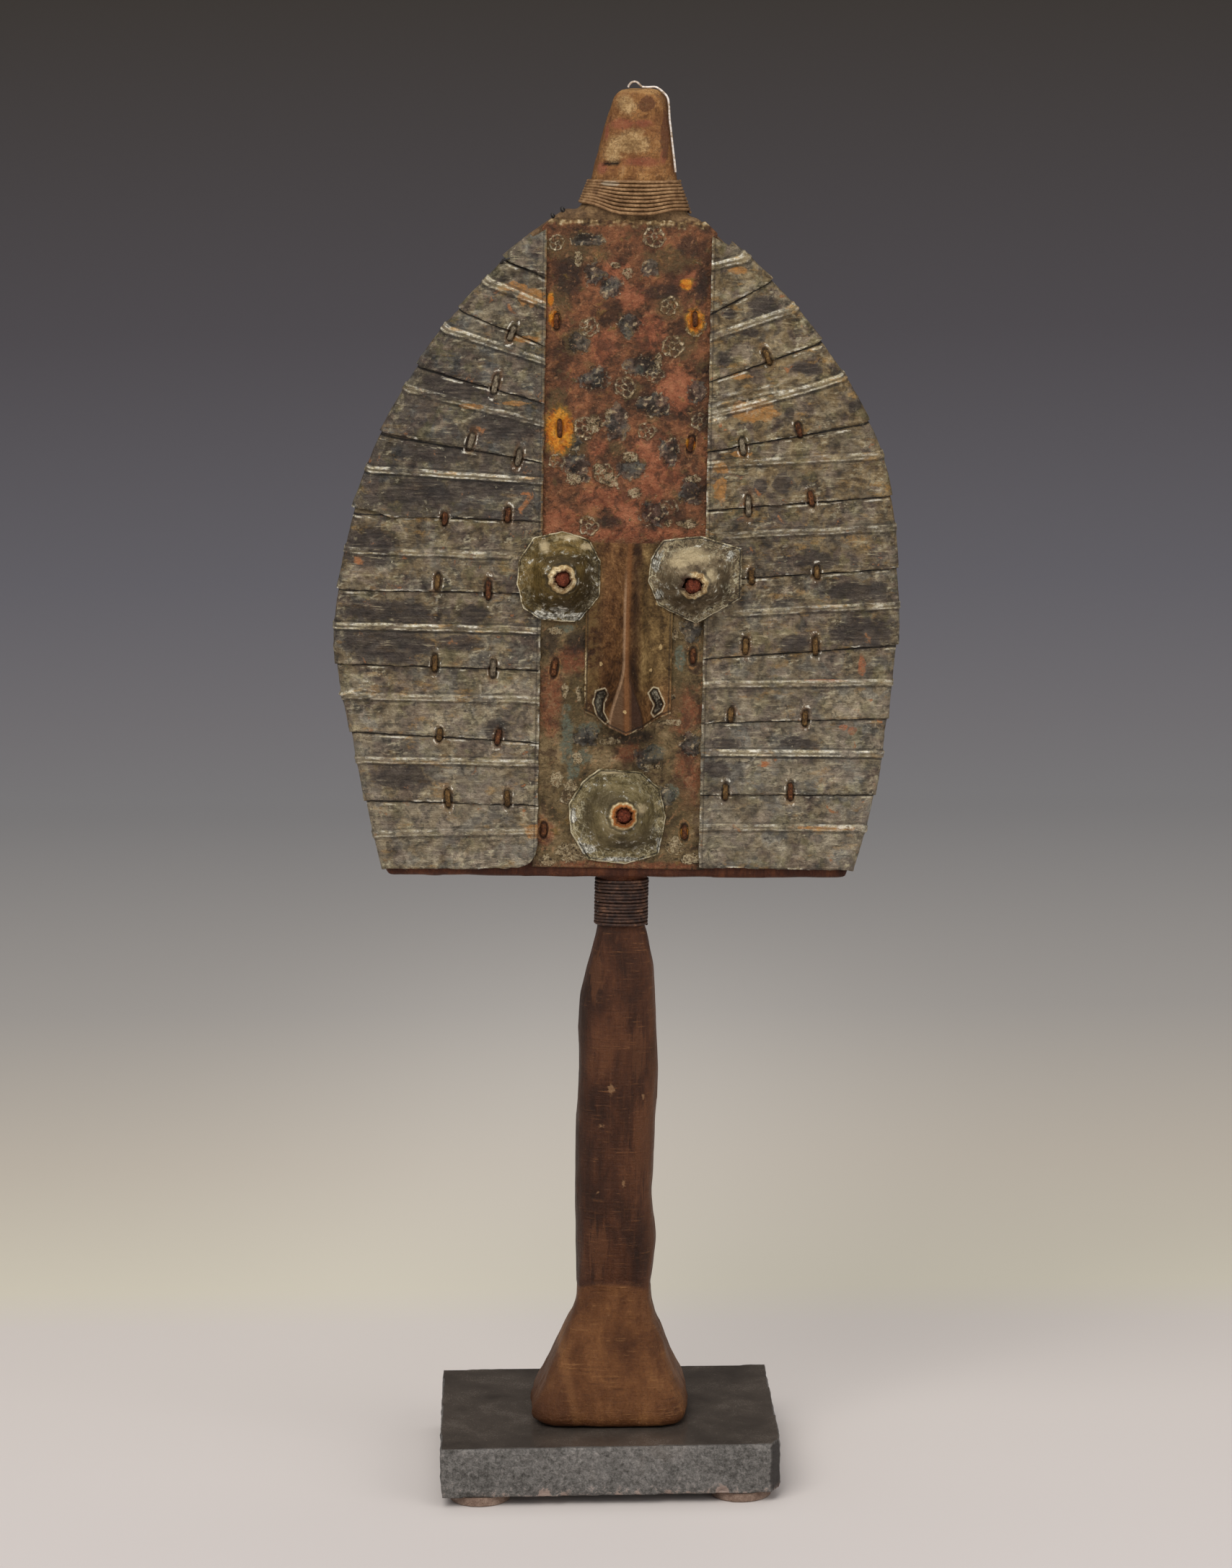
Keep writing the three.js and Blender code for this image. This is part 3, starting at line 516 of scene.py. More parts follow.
def sheetLook():
    # the wings' strips: mottled and stained, their ribs and edges rubbed bright and painted with
    # highlights, their seams and dents painted with shade
    look = Look("wingMetal")
    x, _, z = look.parts()
    # every strip lies elsewhere in the patterns
    shift = look.painted("shift")
    look.where = look.added(look.where, look.point(shift * 31, shift * 17, shift * 11))
    broad = look.mottle(17, 4, 0.6, 1.0, 0.4)
    blots = look.mottle(6.5, 5, 0.6, 2.0, 0.4)
    crumbs = look.mottle(1.6, 4, 0.66, 3.0, 0.15)
    hue = look.mottle(7, 4, 0.6, 6.0, 0.3)
    drawn = look.mottle(1.0, 4, 0.62, 4.0, where=look.stretch(0.12, 1, 1))
    across = look.mottle(1.0, 3, 0.6, 5.0, where=look.stretch(1, 1, 0.1))
    glints = look.mottle(3.0, 5, 0.68, 8.0, where=look.stretch(0.3, 1, 1))
    sparks = look.mottle(2.4, 4, 0.7, 9.0)
    wobble = (blots - 0.5) * 2.4 + (crumbs - 0.5) * 1.2
    stain = look.painted("stain")
    light = look.painted("light")
    warm = look.painted("warm")
    specks = look.mottle(3.1, 4, 0.56, 25.0, 0.5, where=look.stretch(0.8, 1, 1))
    value = specks * 0.38 + blots * 0.3 + crumbs * 0.06 + broad * 0.14 + drawn * 0.12
    value = value + light * 0.05 - stain * 0.05
    value = value + z.ease(320, 260) * 0.022
    steps = (0.36, 0.415, 0.46, 0.503, 0.555, 0.63)
    shades = {
        "plain": [
            (36, 31, 25), (60, 53, 43), (82, 74, 61), (103, 94, 77), (126, 116, 96), (172, 161, 136),
        ],
        "tan": [
            (44, 33, 18), (75, 60, 38), (102, 84, 57), (122, 103, 72), (145, 127, 94), (186, 168, 132),
        ],
        "blue": [
            (30, 30, 31), (49, 49, 50), (68, 68, 67), (88, 88, 84), (112, 111, 104), (156, 153, 139),
        ],
        "olive": [
            (37, 35, 18), (64, 59, 36), (90, 83, 54), (110, 101, 70), (134, 124, 90), (172, 162, 124),
        ],
        "violet": [
            (38, 29, 26), (63, 52, 46), (87, 73, 63), (108, 93, 78), (131, 116, 98), (172, 156, 134),
        ],
    }
    plain, tan, blue, olive, violet = [value.ramp(list(zip(steps, row))) for row in shades.values()]
    color = look.cover(
        look.mix(warm + (hue - 0.5) * 1.6, plain, tan),
        (look.mottle(9, 3, 0.6, 11.0, 0.3).ease(0.49, 0.6) * (1 - warm * 0.6) * 0.8, blue),
        (look.mottle(8, 3, 0.6, 14.0, 0.3).ease(0.53, 0.62) * 0.6, olive),
        (look.mottle(7, 3, 0.6, 12.0, 0.3).ease(0.5, 0.6) * 0.8, violet),
    )
    # painted light and shade on the crumpled skin: bright on one slope of each fold, dark on the other
    flatter = look.stretch(0.5, 1, 1)
    fold = look.slopeLight(3.4, 0.8, 3, 0.6, 21.0, flatter) + look.slopeLight(1.3, 0.35, 3, 0.6, 22.0, flatter) * 0.6
    folded = look.mottle(12, 3, 0.6, 23.0, 0.4).ease(0.47, 0.6)
    spots = look.mottle(3.0, 2, 0.5, 24.0, 0.4)
    color = look.cover(
        color,
        (z.ease(320, 265) * broad.ease(0.38, 0.56) * 0.3, (132, 124, 112)),
        (spots.ease(0.54, 0.6) * hue.ease(0.4, 0.5) * 0.5, (54, 51, 44)),
        (fold.ease(0.04, 0.2) * folded * 0.6, (186, 176, 146)),
        (fold.ease(-0.04, -0.2) * folded.ease(0.0, 1.0, 0.2, 0.7), (40, 36, 31)),
    )
    ochre = look.mottle(4.5, 4, 0.64, 13.0, 0.3, where=look.stretch(0.4, 1, 1)).ease(0.56, 0.66)
    glow = look.painted("glow")
    off = look.painted("ribOff") + 0.22 * wobble
    crest = off.line(0.75, 0.3, 0.4).orMore(off.line(-0.95, 0.14, 0.34) * 0.8)
    inner = off.line(0, 0.75, 0.6)
    under = off.line(-1.85, 0.2, 0.45).orMore(off.line(1.85, 0.1, 0.4) * 0.7)
    shine = glints.ease(0.43, 0.58, 0.05, 0.95)
    bright = sparks.ramp([(0.4, (176, 162, 128)), (0.48, (222, 212, 182)), (0.58, (252, 247, 230))])
    bright = look.cover(bright, (ochre * 0.7, (214, 164, 92)))
    lap = look.painted("lap") + 0.3 * wobble
    hem, run, dent, rim = [look.painted(name) for name in ("hem", "run", "dent", "rim")]
    upperLeft = x.ease(1, -1) * z.ease(342, 352)
    endTone = look.mix(upperLeft, bright, tone(150, 112, 64))
    dentOff = dent + 0.12 * wobble
    color = look.cover(
        color,
        (ochre * crumbs.ease(0.36, 0.56) * (0.25 + 0.4 * warm), (158, 122, 68)),
        (look.patch("stain", blots, 2.0, 0.12) * 0.82, (blots * 0.4 + drawn * 0.6).ramp([
            (0.38, (38, 33, 30)), (0.5, (58, 50, 45)), (0.62, (84, 74, 66)),
        ])),
        (drawn.ease(0.58, 0.68) * broad.ease(0.42, 0.58) * 0.5, (184, 172, 138)),
        (across.ease(0.6, 0.7) * hue.ease(0.4, 0.6) * 0.4, (46, 42, 34)),
        # painted glints: small bright specks where the skin is folded
        (sparks.ease(0.63, 0.7) * folded * 0.6, (206, 196, 164)),
        (sparks.ease(0.37, 0.3) * 0.4, (38, 34, 30)),
        (look.patch("rust", blots, 2.0) * crumbs.ease(0.3, 0.62, 0.95, 0.4), (174, 122, 62)),
        (look.patch("copper", blots, 2.0) * crumbs.ease(0.36, 0.6, 0.85, 0.3), (158, 96, 62)),
        # the ribs: a painted shadow line under each, and crests rubbed bright with painted highlights
        (under * glow * 0.75, (36, 33, 28)),
        (inner * glow * shine * 0.35, (160, 146, 112)),
        (crest * glow * shine * crumbs.ease(0.72, 0.46), bright),
        # creases rubbed bright, with painted highlights
        (look.painted("crease") * crumbs.ease(0.7, 0.42) * shine, bright),
        # painted shadow under the upper strip's edge at each seam, and painted highlights just below it
        (lap.line(0.2, 0.08, 0.4) * glints.ease(0.3, 0.44, 0.35, 0.95), (20, 17, 14)),
        (lap.line(1.15, 0.1, 0.45) * glints.ease(0.5, 0.6) * 0.75, bright),
        # the strips' cut lower edges: bright cut metal with painted highlights
        ((hem + 0.3 * wobble).ease(0.9, 0.2) * glints.ease(0.52, 0.62) * 0.85, bright),
        # the strips' inner cut ends: bright cut metal with painted highlights, ochre on the upper left, and
        # a painted shadow line beside them
        ((run + 0.3 * wobble).ease(0.9, 0.2) * (glints + 0.06 * upperLeft).ease(0.48, 0.62) * 0.6, endTone),
        ((run + 0.3 * wobble).line(1.35, 0.05, 0.4) * 0.5, (42, 35, 27)),
        # a painted highlight where the strip turns round the board's edge
        (rim.line(1.0, 0.3, 0.8) * sparks.ease(0.5, 0.6) * 0.4, (166, 154, 124)),
        # the staples' dents: a rust halo, a painted highlight on the dent's rim, and painted shade in the
        # dent and its dark ring
        (dent.ease(1.8, 0.95) * blots.ease(0.4, 0.6) * 0.5, (118, 80, 42)),
        (dentOff.line(1.3, 0.03, 0.2) * sparks.ease(0.53, 0.6) * 0.7, bright),
        (dentOff.line(0.86, 0.06, 0.2) * crumbs.ease(0.6, 0.42, 0.25, 0.8), (34, 25, 17)),
        (dent.ease(0.8, 0.6), (60, 42, 28)),
    )
    relief = 0.6 * blots + 0.5 * crumbs + 0.25 * drawn + 0.25 * sparks
    roughness = value.ease(0.4, 0.6, 0.6, 0.34)
    return look.finish(color, roughness, 0.3, relief, 0.0026, 0.35)


def copperLook():
    # the panel: red copper under brown and olive crusts, with struck rosettes, and painted light and shade
    # on its crumpled slopes and dents
    look = Look("agedCopper")
    broad = look.mottle(12, 4, 0.6, 1.5, 0.5)
    blots = look.mottle(3.8, 5, 0.66, 2.5, 0.5)
    crumbs = look.mottle(1.15, 4, 0.68, 3.5, 0.2)
    hue = look.mottle(5.5, 4, 0.62, 6.5, 0.4)
    patina = look.mottle(7, 5, 0.64, 7.5, 0.5)
    sparks = look.mottle(2.0, 4, 0.7, 9.0)
    value = blots * 0.38 + crumbs * 0.16 + broad * 0.46
    low = (look.painted("low") + (blots - 0.5) * 1.2).ease(0.42, 0.58)
    upper = value.ramp([
        (0.37, (36, 24, 16)), (0.43, (68, 45, 28)), (0.48, (98, 63, 40)), (0.53, (122, 77, 49)),
        (0.59, (146, 94, 61)), (0.67, (188, 138, 98)),
    ])
    under = value.ramp([
        (0.37, (42, 35, 22)), (0.43, (76, 62, 39)), (0.48, (104, 86, 57)), (0.53, (126, 106, 73)),
        (0.59, (150, 128, 94)), (0.67, (188, 166, 126)),
    ])
    color = look.mix(low, upper, under)
    red = look.mix(low, value.ramp([
        (0.42, (118, 66, 43)), (0.5, (148, 87, 58)), (0.6, (170, 108, 77)),
    ]), tone(124, 72, 46))
    redArea = look.patch("red", blots, 1.6, 0.2)
    slate = (crumbs * 0.15 + blots * 0.5 + broad * 0.35).ramp([
        (0.4, (26, 24, 22)), (0.46, (50, 47, 42)), (0.5, (74, 71, 66)), (0.54, (96, 93, 86)),
        (0.59, (122, 116, 98)), (0.66, (186, 172, 140)),
    ])
    stain = look.patch("stain", blots * 0.6 + sparks * 0.4, 2.4, 0.08)
    fleck = look.patch("fleck", blots * 0.5 + sparks * 0.5, 2.4, 0.08)
    # the rosettes' outlines wander with the crusts
    roseX = look.painted("roseX") + (blots - 0.5) * 0.9 + (crumbs - 0.5) * 0.5
    roseZ = look.painted("roseZ") + (hue - 0.5) * 0.9 + (sparks - 0.5) * 0.6
    far = look.maths("SQRT", roseX * roseX + roseZ * roseZ)
    turn = look.maths("ARCTAN2", roseZ, roseX) * 2.5
    wobble = (crumbs - 0.5) * 0.9
    scallop = 0.8 + 0.14 * abs(look.maths("COSINE", turn)) + 0.2 * wobble
    petals = (far - scallop).line(0, 0.05, 0.15)
    spokes = abs(look.maths("SINE", turn + wobble))
    spokes = spokes.ease(0.88, 0.99) * far.ease(0.25, 0.4) * far.ease(0.85, 0.7)
    middle = (far + 0.15 * wobble).line(0.27, 0.03, 0.1)
    rose = look.painted("rose")
    # painted light and shade: slopes of the crumpled copper that face up and to the left
    bigSlopeLight = look.slopeLight(3.0, 0.8, 2, 0.5, 21.0)
    fold = bigSlopeLight + look.slopeLight(1.3, 0.4, 3, 0.6, 22.0) * 0.6
    shown = (rose + 1.6 * (blots - 0.5) + (sparks - 0.5)).ease(0.22, 0.6)
    # the struck lines fade where the painted slope light is dark
    shown = shown * fold.ease(-0.12, 0.1, 0.2, 1.0)
    struck = petals.orMore(spokes * 0.7).orMore(middle * 0.9) * shown
    dent = look.painted("dent") + 0.2 * wobble
    rust = look.patch("rust", crumbs, 1.2, 0.1)
    cream = sparks.ramp([(0.4, (140, 116, 82)), (0.5, (190, 168, 130)), (0.6, (232, 216, 182))])
    color = look.cover(
        color,
        (redArea * crumbs.ease(0.34, 0.64, 0.95, 0.5), red),
        (patina.ease(0.48, 0.41) * 0.6, (62, 40, 27)),
        (hue.ease(0.57, 0.66) * (1 - redArea * 0.6) * 0.5, (98, 82, 50)),
        (look.patch("olive", blots, 1.8, 0.16) * crumbs.ease(0.3, 0.7, 0.8, 0.4), (88, 74, 46)),
        (look.patch("teal", blots, 1.8, 0.14) * crumbs.ease(0.4, 0.6, 0.85, 0.4), (98, 106, 92)),
        (rose.ease(0.25, 0.5) * far.ease(1.05, 0.8) * crumbs.ease(0.62, 0.42) * 0.65, (58, 42, 30)),
        ((look.painted("stain") + (blots * 0.6 + sparks * 0.4 - 0.5) * 2.4).line(0.36, 0.03, 0.09)
         * crumbs.ease(0.5, 0.58) * hue.ease(0.46, 0.54), cream),
        (stain * patina.ease(0.34, 0.56, 0.95, 0.65), slate),
        (look.patch("dark", blots, 1.8, 0.16) * 0.75, (40, 30, 24)),
        # painted light and shade on the folds and on the crusts' slopes
        (fold.ease(0.08, 0.24) * patina.ease(0.4, 0.54) * 0.4, (180, 132, 92)),
        (fold.ease(-0.08, -0.24) * 0.45, (44, 28, 20)),
        (bigSlopeLight.ease(0.06, 0.16) * stain.orMore(fleck) * hue.ease(0.42, 0.54) * 0.55, (206, 186, 150)),
        (bigSlopeLight.ease(-0.05, -0.15) * stain * 0.5, (34, 29, 24)),
        (struck * crumbs.ease(0.74, 0.5) * 0.95, cream),
        # painted glints
        (sparks.ease(0.64, 0.71) * 0.3, (196, 158, 116)),
        (sparks.ease(0.37, 0.3) * 0.6, (34, 22, 16)),
        (fleck * crumbs.ease(0.62, 0.44), (blots * 0.4 + crumbs * 0.6).ramp([
            (0.42, (56, 44, 33)), (0.48, (150, 128, 92)), (0.53, (222, 206, 170)),
            (0.59, (142, 112, 76)), (0.66, (74, 56, 40)),
        ])),
        ((look.painted("rust") + (blots - 0.5) * 1.4).ease(0.08, 0.34) * 0.6, (138, 106, 42)),
        (rust * crumbs.ease(0.3, 0.64, 1.0, 0.7), blots.ramp([
            (0.4, (168, 84, 16)), (0.5, (208, 124, 24)), (0.6, (226, 156, 48)),
        ])),
        # the torn top edge, coloured by the painted slope light and shade
        ((look.painted("hem") + (blots - 0.5) * 5).ease(3.0, 1.0) * 0.7, (bigSlopeLight + 0.5).ramp([
            (0.36, (62, 46, 28)), (0.5, (122, 98, 62)), (0.58, (168, 142, 98)), (0.68, (224, 206, 166)),
        ])),
        # the staples' dents: a painted highlight on the rim, and painted shade in the dent and its dark
        # ring
        (dent.line(1.28, 0.03, 0.18) * sparks.ease(0.46, 0.56) * 0.6, (160, 116, 70)),
        (dent.line(0.88, 0.1, 0.16) * (1 - rust) * sparks.ease(0.3, 0.45, 0.3, 0.7), (40, 23, 14)),
        (dent.ease(0.8, 0.6) * (1 - rust * 0.6), (78, 42, 22)),
    )
    relief = 0.55 * blots + 0.45 * crumbs + 0.5 * struck + 0.5 * fleck * crumbs
    relief = relief + 0.3 * stain * crumbs + 0.25 * sparks
    roughness = value.ease(0.4, 0.62, 0.56, 0.34)
    return look.finish(color, roughness, 0.25, relief, 0.0024, 0.3)


def coneLook():
    # hammered and rubbed brass of the eyes and the mouth, with painted light and shade on the domes
    look = Look("rubbedBrass")
    broad = look.mottle(9, 4, 0.6, 1.2, 0.5)
    blots = look.mottle(2.8, 5, 0.66, 2.2, 0.5)
    crumbs = look.mottle(0.95, 4, 0.68, 3.2, 0.2)
    share, silver, rust = look.painted("share"), look.painted("silver"), look.painted("rust")
    rayX, rayZ = look.painted("rayX"), look.painted("rayZ")
    streaks = look.mottle(1, 5, 0.7, 4.0, 0.5, look.point(rayX * 6, rayZ * 6, share * 1.5))
    turned = look.mottle(1, 4, 0.62, 5.0, 0.4, look.point(rayX * 0.8, rayZ * 0.8, share * 13))
    # arcs and cracks that follow the rim
    arcs = look.mottle(1, 4, 0.66, 8.0, 0.5, look.point(rayX * 2.2, rayZ * 2.2, share * 26))
    value = 0.4 * broad + 0.25 * blots + 0.1 * crumbs + 0.25 * turned
    # painted light: the domes are lighter on their upper left slopes
    upperLeftLight = (rayZ - rayX) * 0.02
    brass = (value + upperLeftLight).ramp([
        (0.38, (38, 29, 9)), (0.45, (60, 47, 15)), (0.5, (80, 64, 24)), (0.55, (104, 84, 40)),
        (0.64, (144, 121, 72)),
    ])
    grey = (0.4 * value + 0.3 * streaks + 0.3 * blots + upperLeftLight).ramp([
        (0.38, (54, 43, 31)), (0.45, (84, 70, 51)), (0.5, (107, 92, 68)), (0.55, (128, 112, 86)),
        (0.64, (170, 155, 124)),
    ])
    mouth = (value + upperLeftLight * 0.5).ramp([
        (0.38, (60, 50, 29)), (0.45, (94, 82, 51)), (0.5, (118, 105, 70)), (0.55, (137, 123, 87)),
        (0.64, (172, 158, 120)),
    ])
    fold = look.slopeLight(4.5, 1.1, 3, 0.55, 21.0)
    rimZone = (share + (blots - 0.5) * 0.5).ease(0.55, 0.85)
    hole = look.painted("fromHole")
    torn = (blots - 0.5) * 2.4 + (crumbs - 0.5) * 1.2
    thread = share.ease(0.5, 0.78) * (0.3 + 0.7 * silver.orMore(rust))
    rimZone = rimZone * (0.35 + 0.65 * silver.orMore(rust))
    color = look.cover(
        look.mix(rust, look.mix(silver, brass, grey), mouth),
        (rimZone * arcs.ease(0.58, 0.67) * broad.ease(0.44, 0.56) * 0.6, (190, 178, 142)),
        (rimZone * arcs.ease(0.42, 0.34) * 0.45, (50, 42, 28)),
        # painted light and shade on the hammered slopes
        (fold.ease(0.06, 0.2) * share.ease(0.3, 0.7) * 0.4, (196, 182, 144)),
        (fold.ease(-0.06, -0.2) * share.ease(0.2, 0.7) * 0.45, (44, 36, 22)),
        (look.patch("stain", blots, 1.0, 0.35) * 0.65, (54, 43, 24)),
        (crumbs.ease(0.62, 0.7) * 0.35, (196, 180, 136)),
        (look.veins(5, 2.0, 1.0) * thread * broad.ease(0.44, 0.54) * 0.7, (208, 200, 168)),
        (look.veins(6, 6.0, 1.0) * thread * 0.6, (34, 31, 24)),
        (look.veins(3, 9.0, 0.8) * share.ease(0.62, 0.8) * thread * 0.45, (186, 172, 132)),
        (look.patch("residue", blots, 3.4, 0.1), (crumbs * 0.5 + arcs * 0.5).ramp([
            (0.4, (58, 52, 40)), (0.47, (122, 118, 104)), (0.53, (182, 180, 168)),
            (0.58, (236, 232, 216)),
        ])),
        # painted highlights: the soft pale patches on the domes
        (look.patch("cream", blots, 1.2, 0.34) * 0.72, (196, 178, 140)),
        # a painted highlight along the rim's cut edge, and painted shade just inside it
        (
            share.line(1.0, 0.015, 0.02) * (broad * 0.6 + blots * 0.4).ease(0.47, 0.55) * 0.85,
            (214, 202, 168),
        ),
        (share.line(0.95, 0.006, 0.022) * broad.ease(0.6, 0.46) * 0.85, (30, 25, 17)),
        ((hole + torn * 0.14).ease(2.2, 1.6) * look.painted("ring"), (blots * 0.6 + crumbs * 0.4).ramp([
            (0.4, (136, 104, 62)), (0.48, (186, 158, 112)), (0.55, (222, 202, 158)),
            (0.63, (236, 224, 192)),
        ])),
        ((hole + torn * 0.5).ease(1.5, 0.8) * rust, (172, 104, 44)),
        ((hole + torn * 0.3).line(2.6, 0.12, 0.6) * look.painted("ring") * 0.6, (44, 34, 17)),
        ((hole + torn * 0.2).ease(0.5, 0.2) * 0.7, (70, 40, 24)),
        # painted shade in the widened hole beside the right eye's nail
        (look.painted("gap") * 0.85, (58, 36, 22)),
    )
    relief = 0.45 * blots + 0.3 * crumbs + 0.35 * turned + 0.3 * silver * streaks + 0.3 * rimZone * arcs
    roughness = value.ease(0.42, 0.6, 0.46, 0.28)
    return look.finish(color, roughness, 0.4, relief, 0.0017, 0.4)


def noseLook():
    look = Look("noseCopper")
    broad = look.mottle(8, 4, 0.6, 4.4, 0.5, where=look.stretch(1, 1, 0.45))
    blots = look.mottle(3.2, 5, 0.66, 5.4, 0.5)
    crumbs = look.mottle(1.0, 4, 0.68, 6.4, 0.2)
    sparks = look.mottle(2.0, 4, 0.7, 9.0)
    value = 0.45 * broad + 0.33 * blots + 0.22 * crumbs
    steps = (0.38, 0.45, 0.5, 0.55, 0.64)
    brown = value.ramp(list(zip(steps, [
        (38, 22, 10), (63, 39, 19), (88, 58, 31), (112, 78, 45), (154, 116, 74),
    ])))
    olive = value.ramp(list(zip(steps, [
        (36, 25, 11), (64, 47, 24), (88, 67, 37), (112, 88, 52), (154, 127, 82),
    ])))
    side, down = look.painted("side"), look.painted("down")
    crest = look.painted("crest")
    tip = down.ease(0.66, 0.8)
    mid = (blots * 0.5 + broad * 0.5).ease(0.42, 0.56)
    leftHighlight = (side + crest + 0.3 * (blots - 0.5)).line(0, 0.2, 0.6)
    edge, hem = look.painted("edge"), look.painted("hem")
    nostril = look.painted("nostril") + 0.5 * (crumbs - 0.5) + 0.5 * (blots - 0.5)
    color = look.cover(
        look.mix((side + 5 * (blots - 0.5)).ease(2.5, 7) * down.ease(0.95, 0.7), brown, olive),
        (side.ease(-8, -13) * mid * 0.6, (96, 80, 46)),
        # painted shade on the ridge's right flank, and a painted highlight along the ridge
        (side.ease(0.8, 3.0) * side.ease(6.5, 3.5) * 0.65, (34, 21, 12)),
        (side.line(0.4, 0.4, 0.9) * blots.ease(0.3, 0.6, 0.85, 0.6), (112, 72, 38)),
        (tip * abs(side - 0.8).ease(crest, crest - 0.6) * 0.7, (86, 54, 29)),
        # the tip: its left facet painted lighter, a painted highlight down its middle, its right facet
        # painted in shade
        (tip * side.ease(-0.6, -1.6) * (side + crest).ease(-0.5, 0.5) * 0.8, (88, 64, 42)),
        (tip * side.line(0.4, 0.4, 0.9) * 0.5, (124, 82, 46)),
        (tip * side.ease(1.8, 2.6) * (side - crest).ease(0.5, -0.5) * 0.85, (46, 26, 13)),
        # a painted highlight down the left of the ridge
        (leftHighlight * down.ease(0.1, 0.3) * blots.ease(0.34, 0.5, 0.5, 0.9), (142, 112, 84)),
        # painted shade along the tip's right crest
        ((side - crest).line(0, 0.15, 0.5) * tip * 0.6, (36, 24, 15)),
        (nostril.ease(0.5, 0.9) * 0.85, (crumbs * 0.6 + blots * 0.4).ramp([
            (0.42, (24, 21, 17)), (0.5, (64, 60, 50)), (0.55, (112, 107, 92)), (0.62, (168, 162, 142)),
        ])),
        (nostril.line(0.85, 0.12, 0.3) * 0.85, (24, 18, 13)),
        (nostril.line(0.05, 0.1, 0.3) * blots.ease(0.4, 0.52, 0.15, 0.85), (196, 182, 150)),
        # a painted highlight on the plate's lower left edge, and a painted shadow line along its edges
        (
            (edge + 1.6 * (blots - 0.5)).ease(1.0, 0.5) * side.ease(0, -1) * down.ease(0.6, 0.68)
            * down.ease(0.96, 0.9) * crumbs.ease(0.42, 0.54) * 0.75,
            (196, 176, 136),
        ),
        ((edge + 0.6 * (blots - 0.5)).line(0.9, 0.1, 0.5) * 0.6, (34, 25, 16)),
        # painted highlights on the plate's lower edge, and a painted shadow line above it
        (
            (hem + 1.6 * (blots - 0.5)).ease(0.8, 0.3) * side.ease(-4, 6, 0.3, 1.0)
            * sparks.ease(0.48, 0.56) * 0.8,
            (190, 172, 134),
        ),
        (hem.line(1.2, 0.1, 0.5) * 0.7, (30, 22, 15)),
        # painted glints
        (sparks.ease(0.64, 0.7) * 0.4, (168, 140, 100)),
        ((look.painted("fleck") + 1.6 * (crumbs - 0.5)).ease(0.5, 0.9) * 0.7, (196, 168, 118)),
    )
    relief = 0.4 * blots + 0.35 * crumbs + 0.25 * broad
    roughness = value.ease(0.42, 0.6, 0.46, 0.3)
    return look.finish(color, roughness, 0.3, relief, 0.0016, 0.22)


def rustLook():
    look = Look("rustedIron")
    blots = look.mottle(1.8, 5, 0.7, 1.1, 0.4)
    fine = look.mottle(0.6, 4, 0.72, 2.1)
    value = blots * 0.5 + fine * 0.5
    rusty = value.ramp([
        (0.38, (36, 21, 12)), (0.46, (72, 41, 23)), (0.52, (104, 62, 34)), (0.58, (136, 88, 50)),
        (0.66, (196, 148, 100)),
    ])
    bright = value.ramp([
        (0.38, (54, 45, 36)), (0.46, (104, 91, 74)), (0.54, (152, 138, 114)), (0.64, (206, 194, 168)),
    ])
    gold = value.ramp([
        (0.38, (42, 29, 16)), (0.46, (84, 60, 32)), (0.54, (120, 90, 50)), (0.64, (178, 142, 88)),
    ])
    red = value.ramp([
        (0.38, (46, 22, 13)), (0.46, (92, 42, 25)), (0.53, (128, 62, 40)), (0.6, (158, 92, 64)),
        (0.66, (188, 134, 100)),
    ])
    color = look.mix(look.painted("golden"), look.mix(look.painted("silver"), rusty, bright), gold)
    # painted shade where the staples' ends go into their holes
    color = look.cover(color, (look.painted("red"), red), (look.painted("ends") * 0.8, (30, 20, 14)))
    relief = 0.6 * blots + 0.6 * fine
    return look.finish(color, 0.45, 0.3, relief, 0.0014, 0.3)


def windingLook():
    look = Look("woundWire")
    blots = look.mottle(3.5, 5, 0.65, 1.7, 0.3)
    fine = look.mottle(0.8, 3, 0.6, 2.7)
    z = look.parts()[2]
    value = blots * 0.6 + fine * 0.4
    top = value.ramp([
        (0.38, (94, 66, 40)), (0.47, (122, 91, 59)), (0.55, (144, 111, 76)), (0.66, (176, 142, 102)),
    ])
    low = value.ramp([
        (0.38, (34, 24, 22)), (0.47, (54, 38, 31)), (0.55, (78, 54, 42)), (0.66, (126, 90, 66)),
    ])
    color = look.mix(z.ease(300, 400), low, top)
    color = look.cover(color, (look.patch("pale", fine, 1.0, 0.1) * 0.55, (158, 148, 128)))
    return look.finish(color, 0.5, 0.2, 0.5 * blots + 0.5 * fine, 0.0004, 0.3)


def paleWireLook():
    look = Look("paleWire")
    fine = look.mottle(1.2, 3, 0.6, 1.9)
    color = fine.ramp([(0.36, (150, 128, 102)), (0.5, (206, 192, 178)), (0.6, (226, 219, 212))])
    return look.finish(color, 0.45, 0.1)


def blackLook():
    look = Look("blackTack")
    fine = look.mottle(0.8, 3, 0.6, 1.9)
    return look.finish(fine.ramp([(0.4, (14, 12, 12)), (0.6, (46, 40, 36))]), 0.5, 0.3)


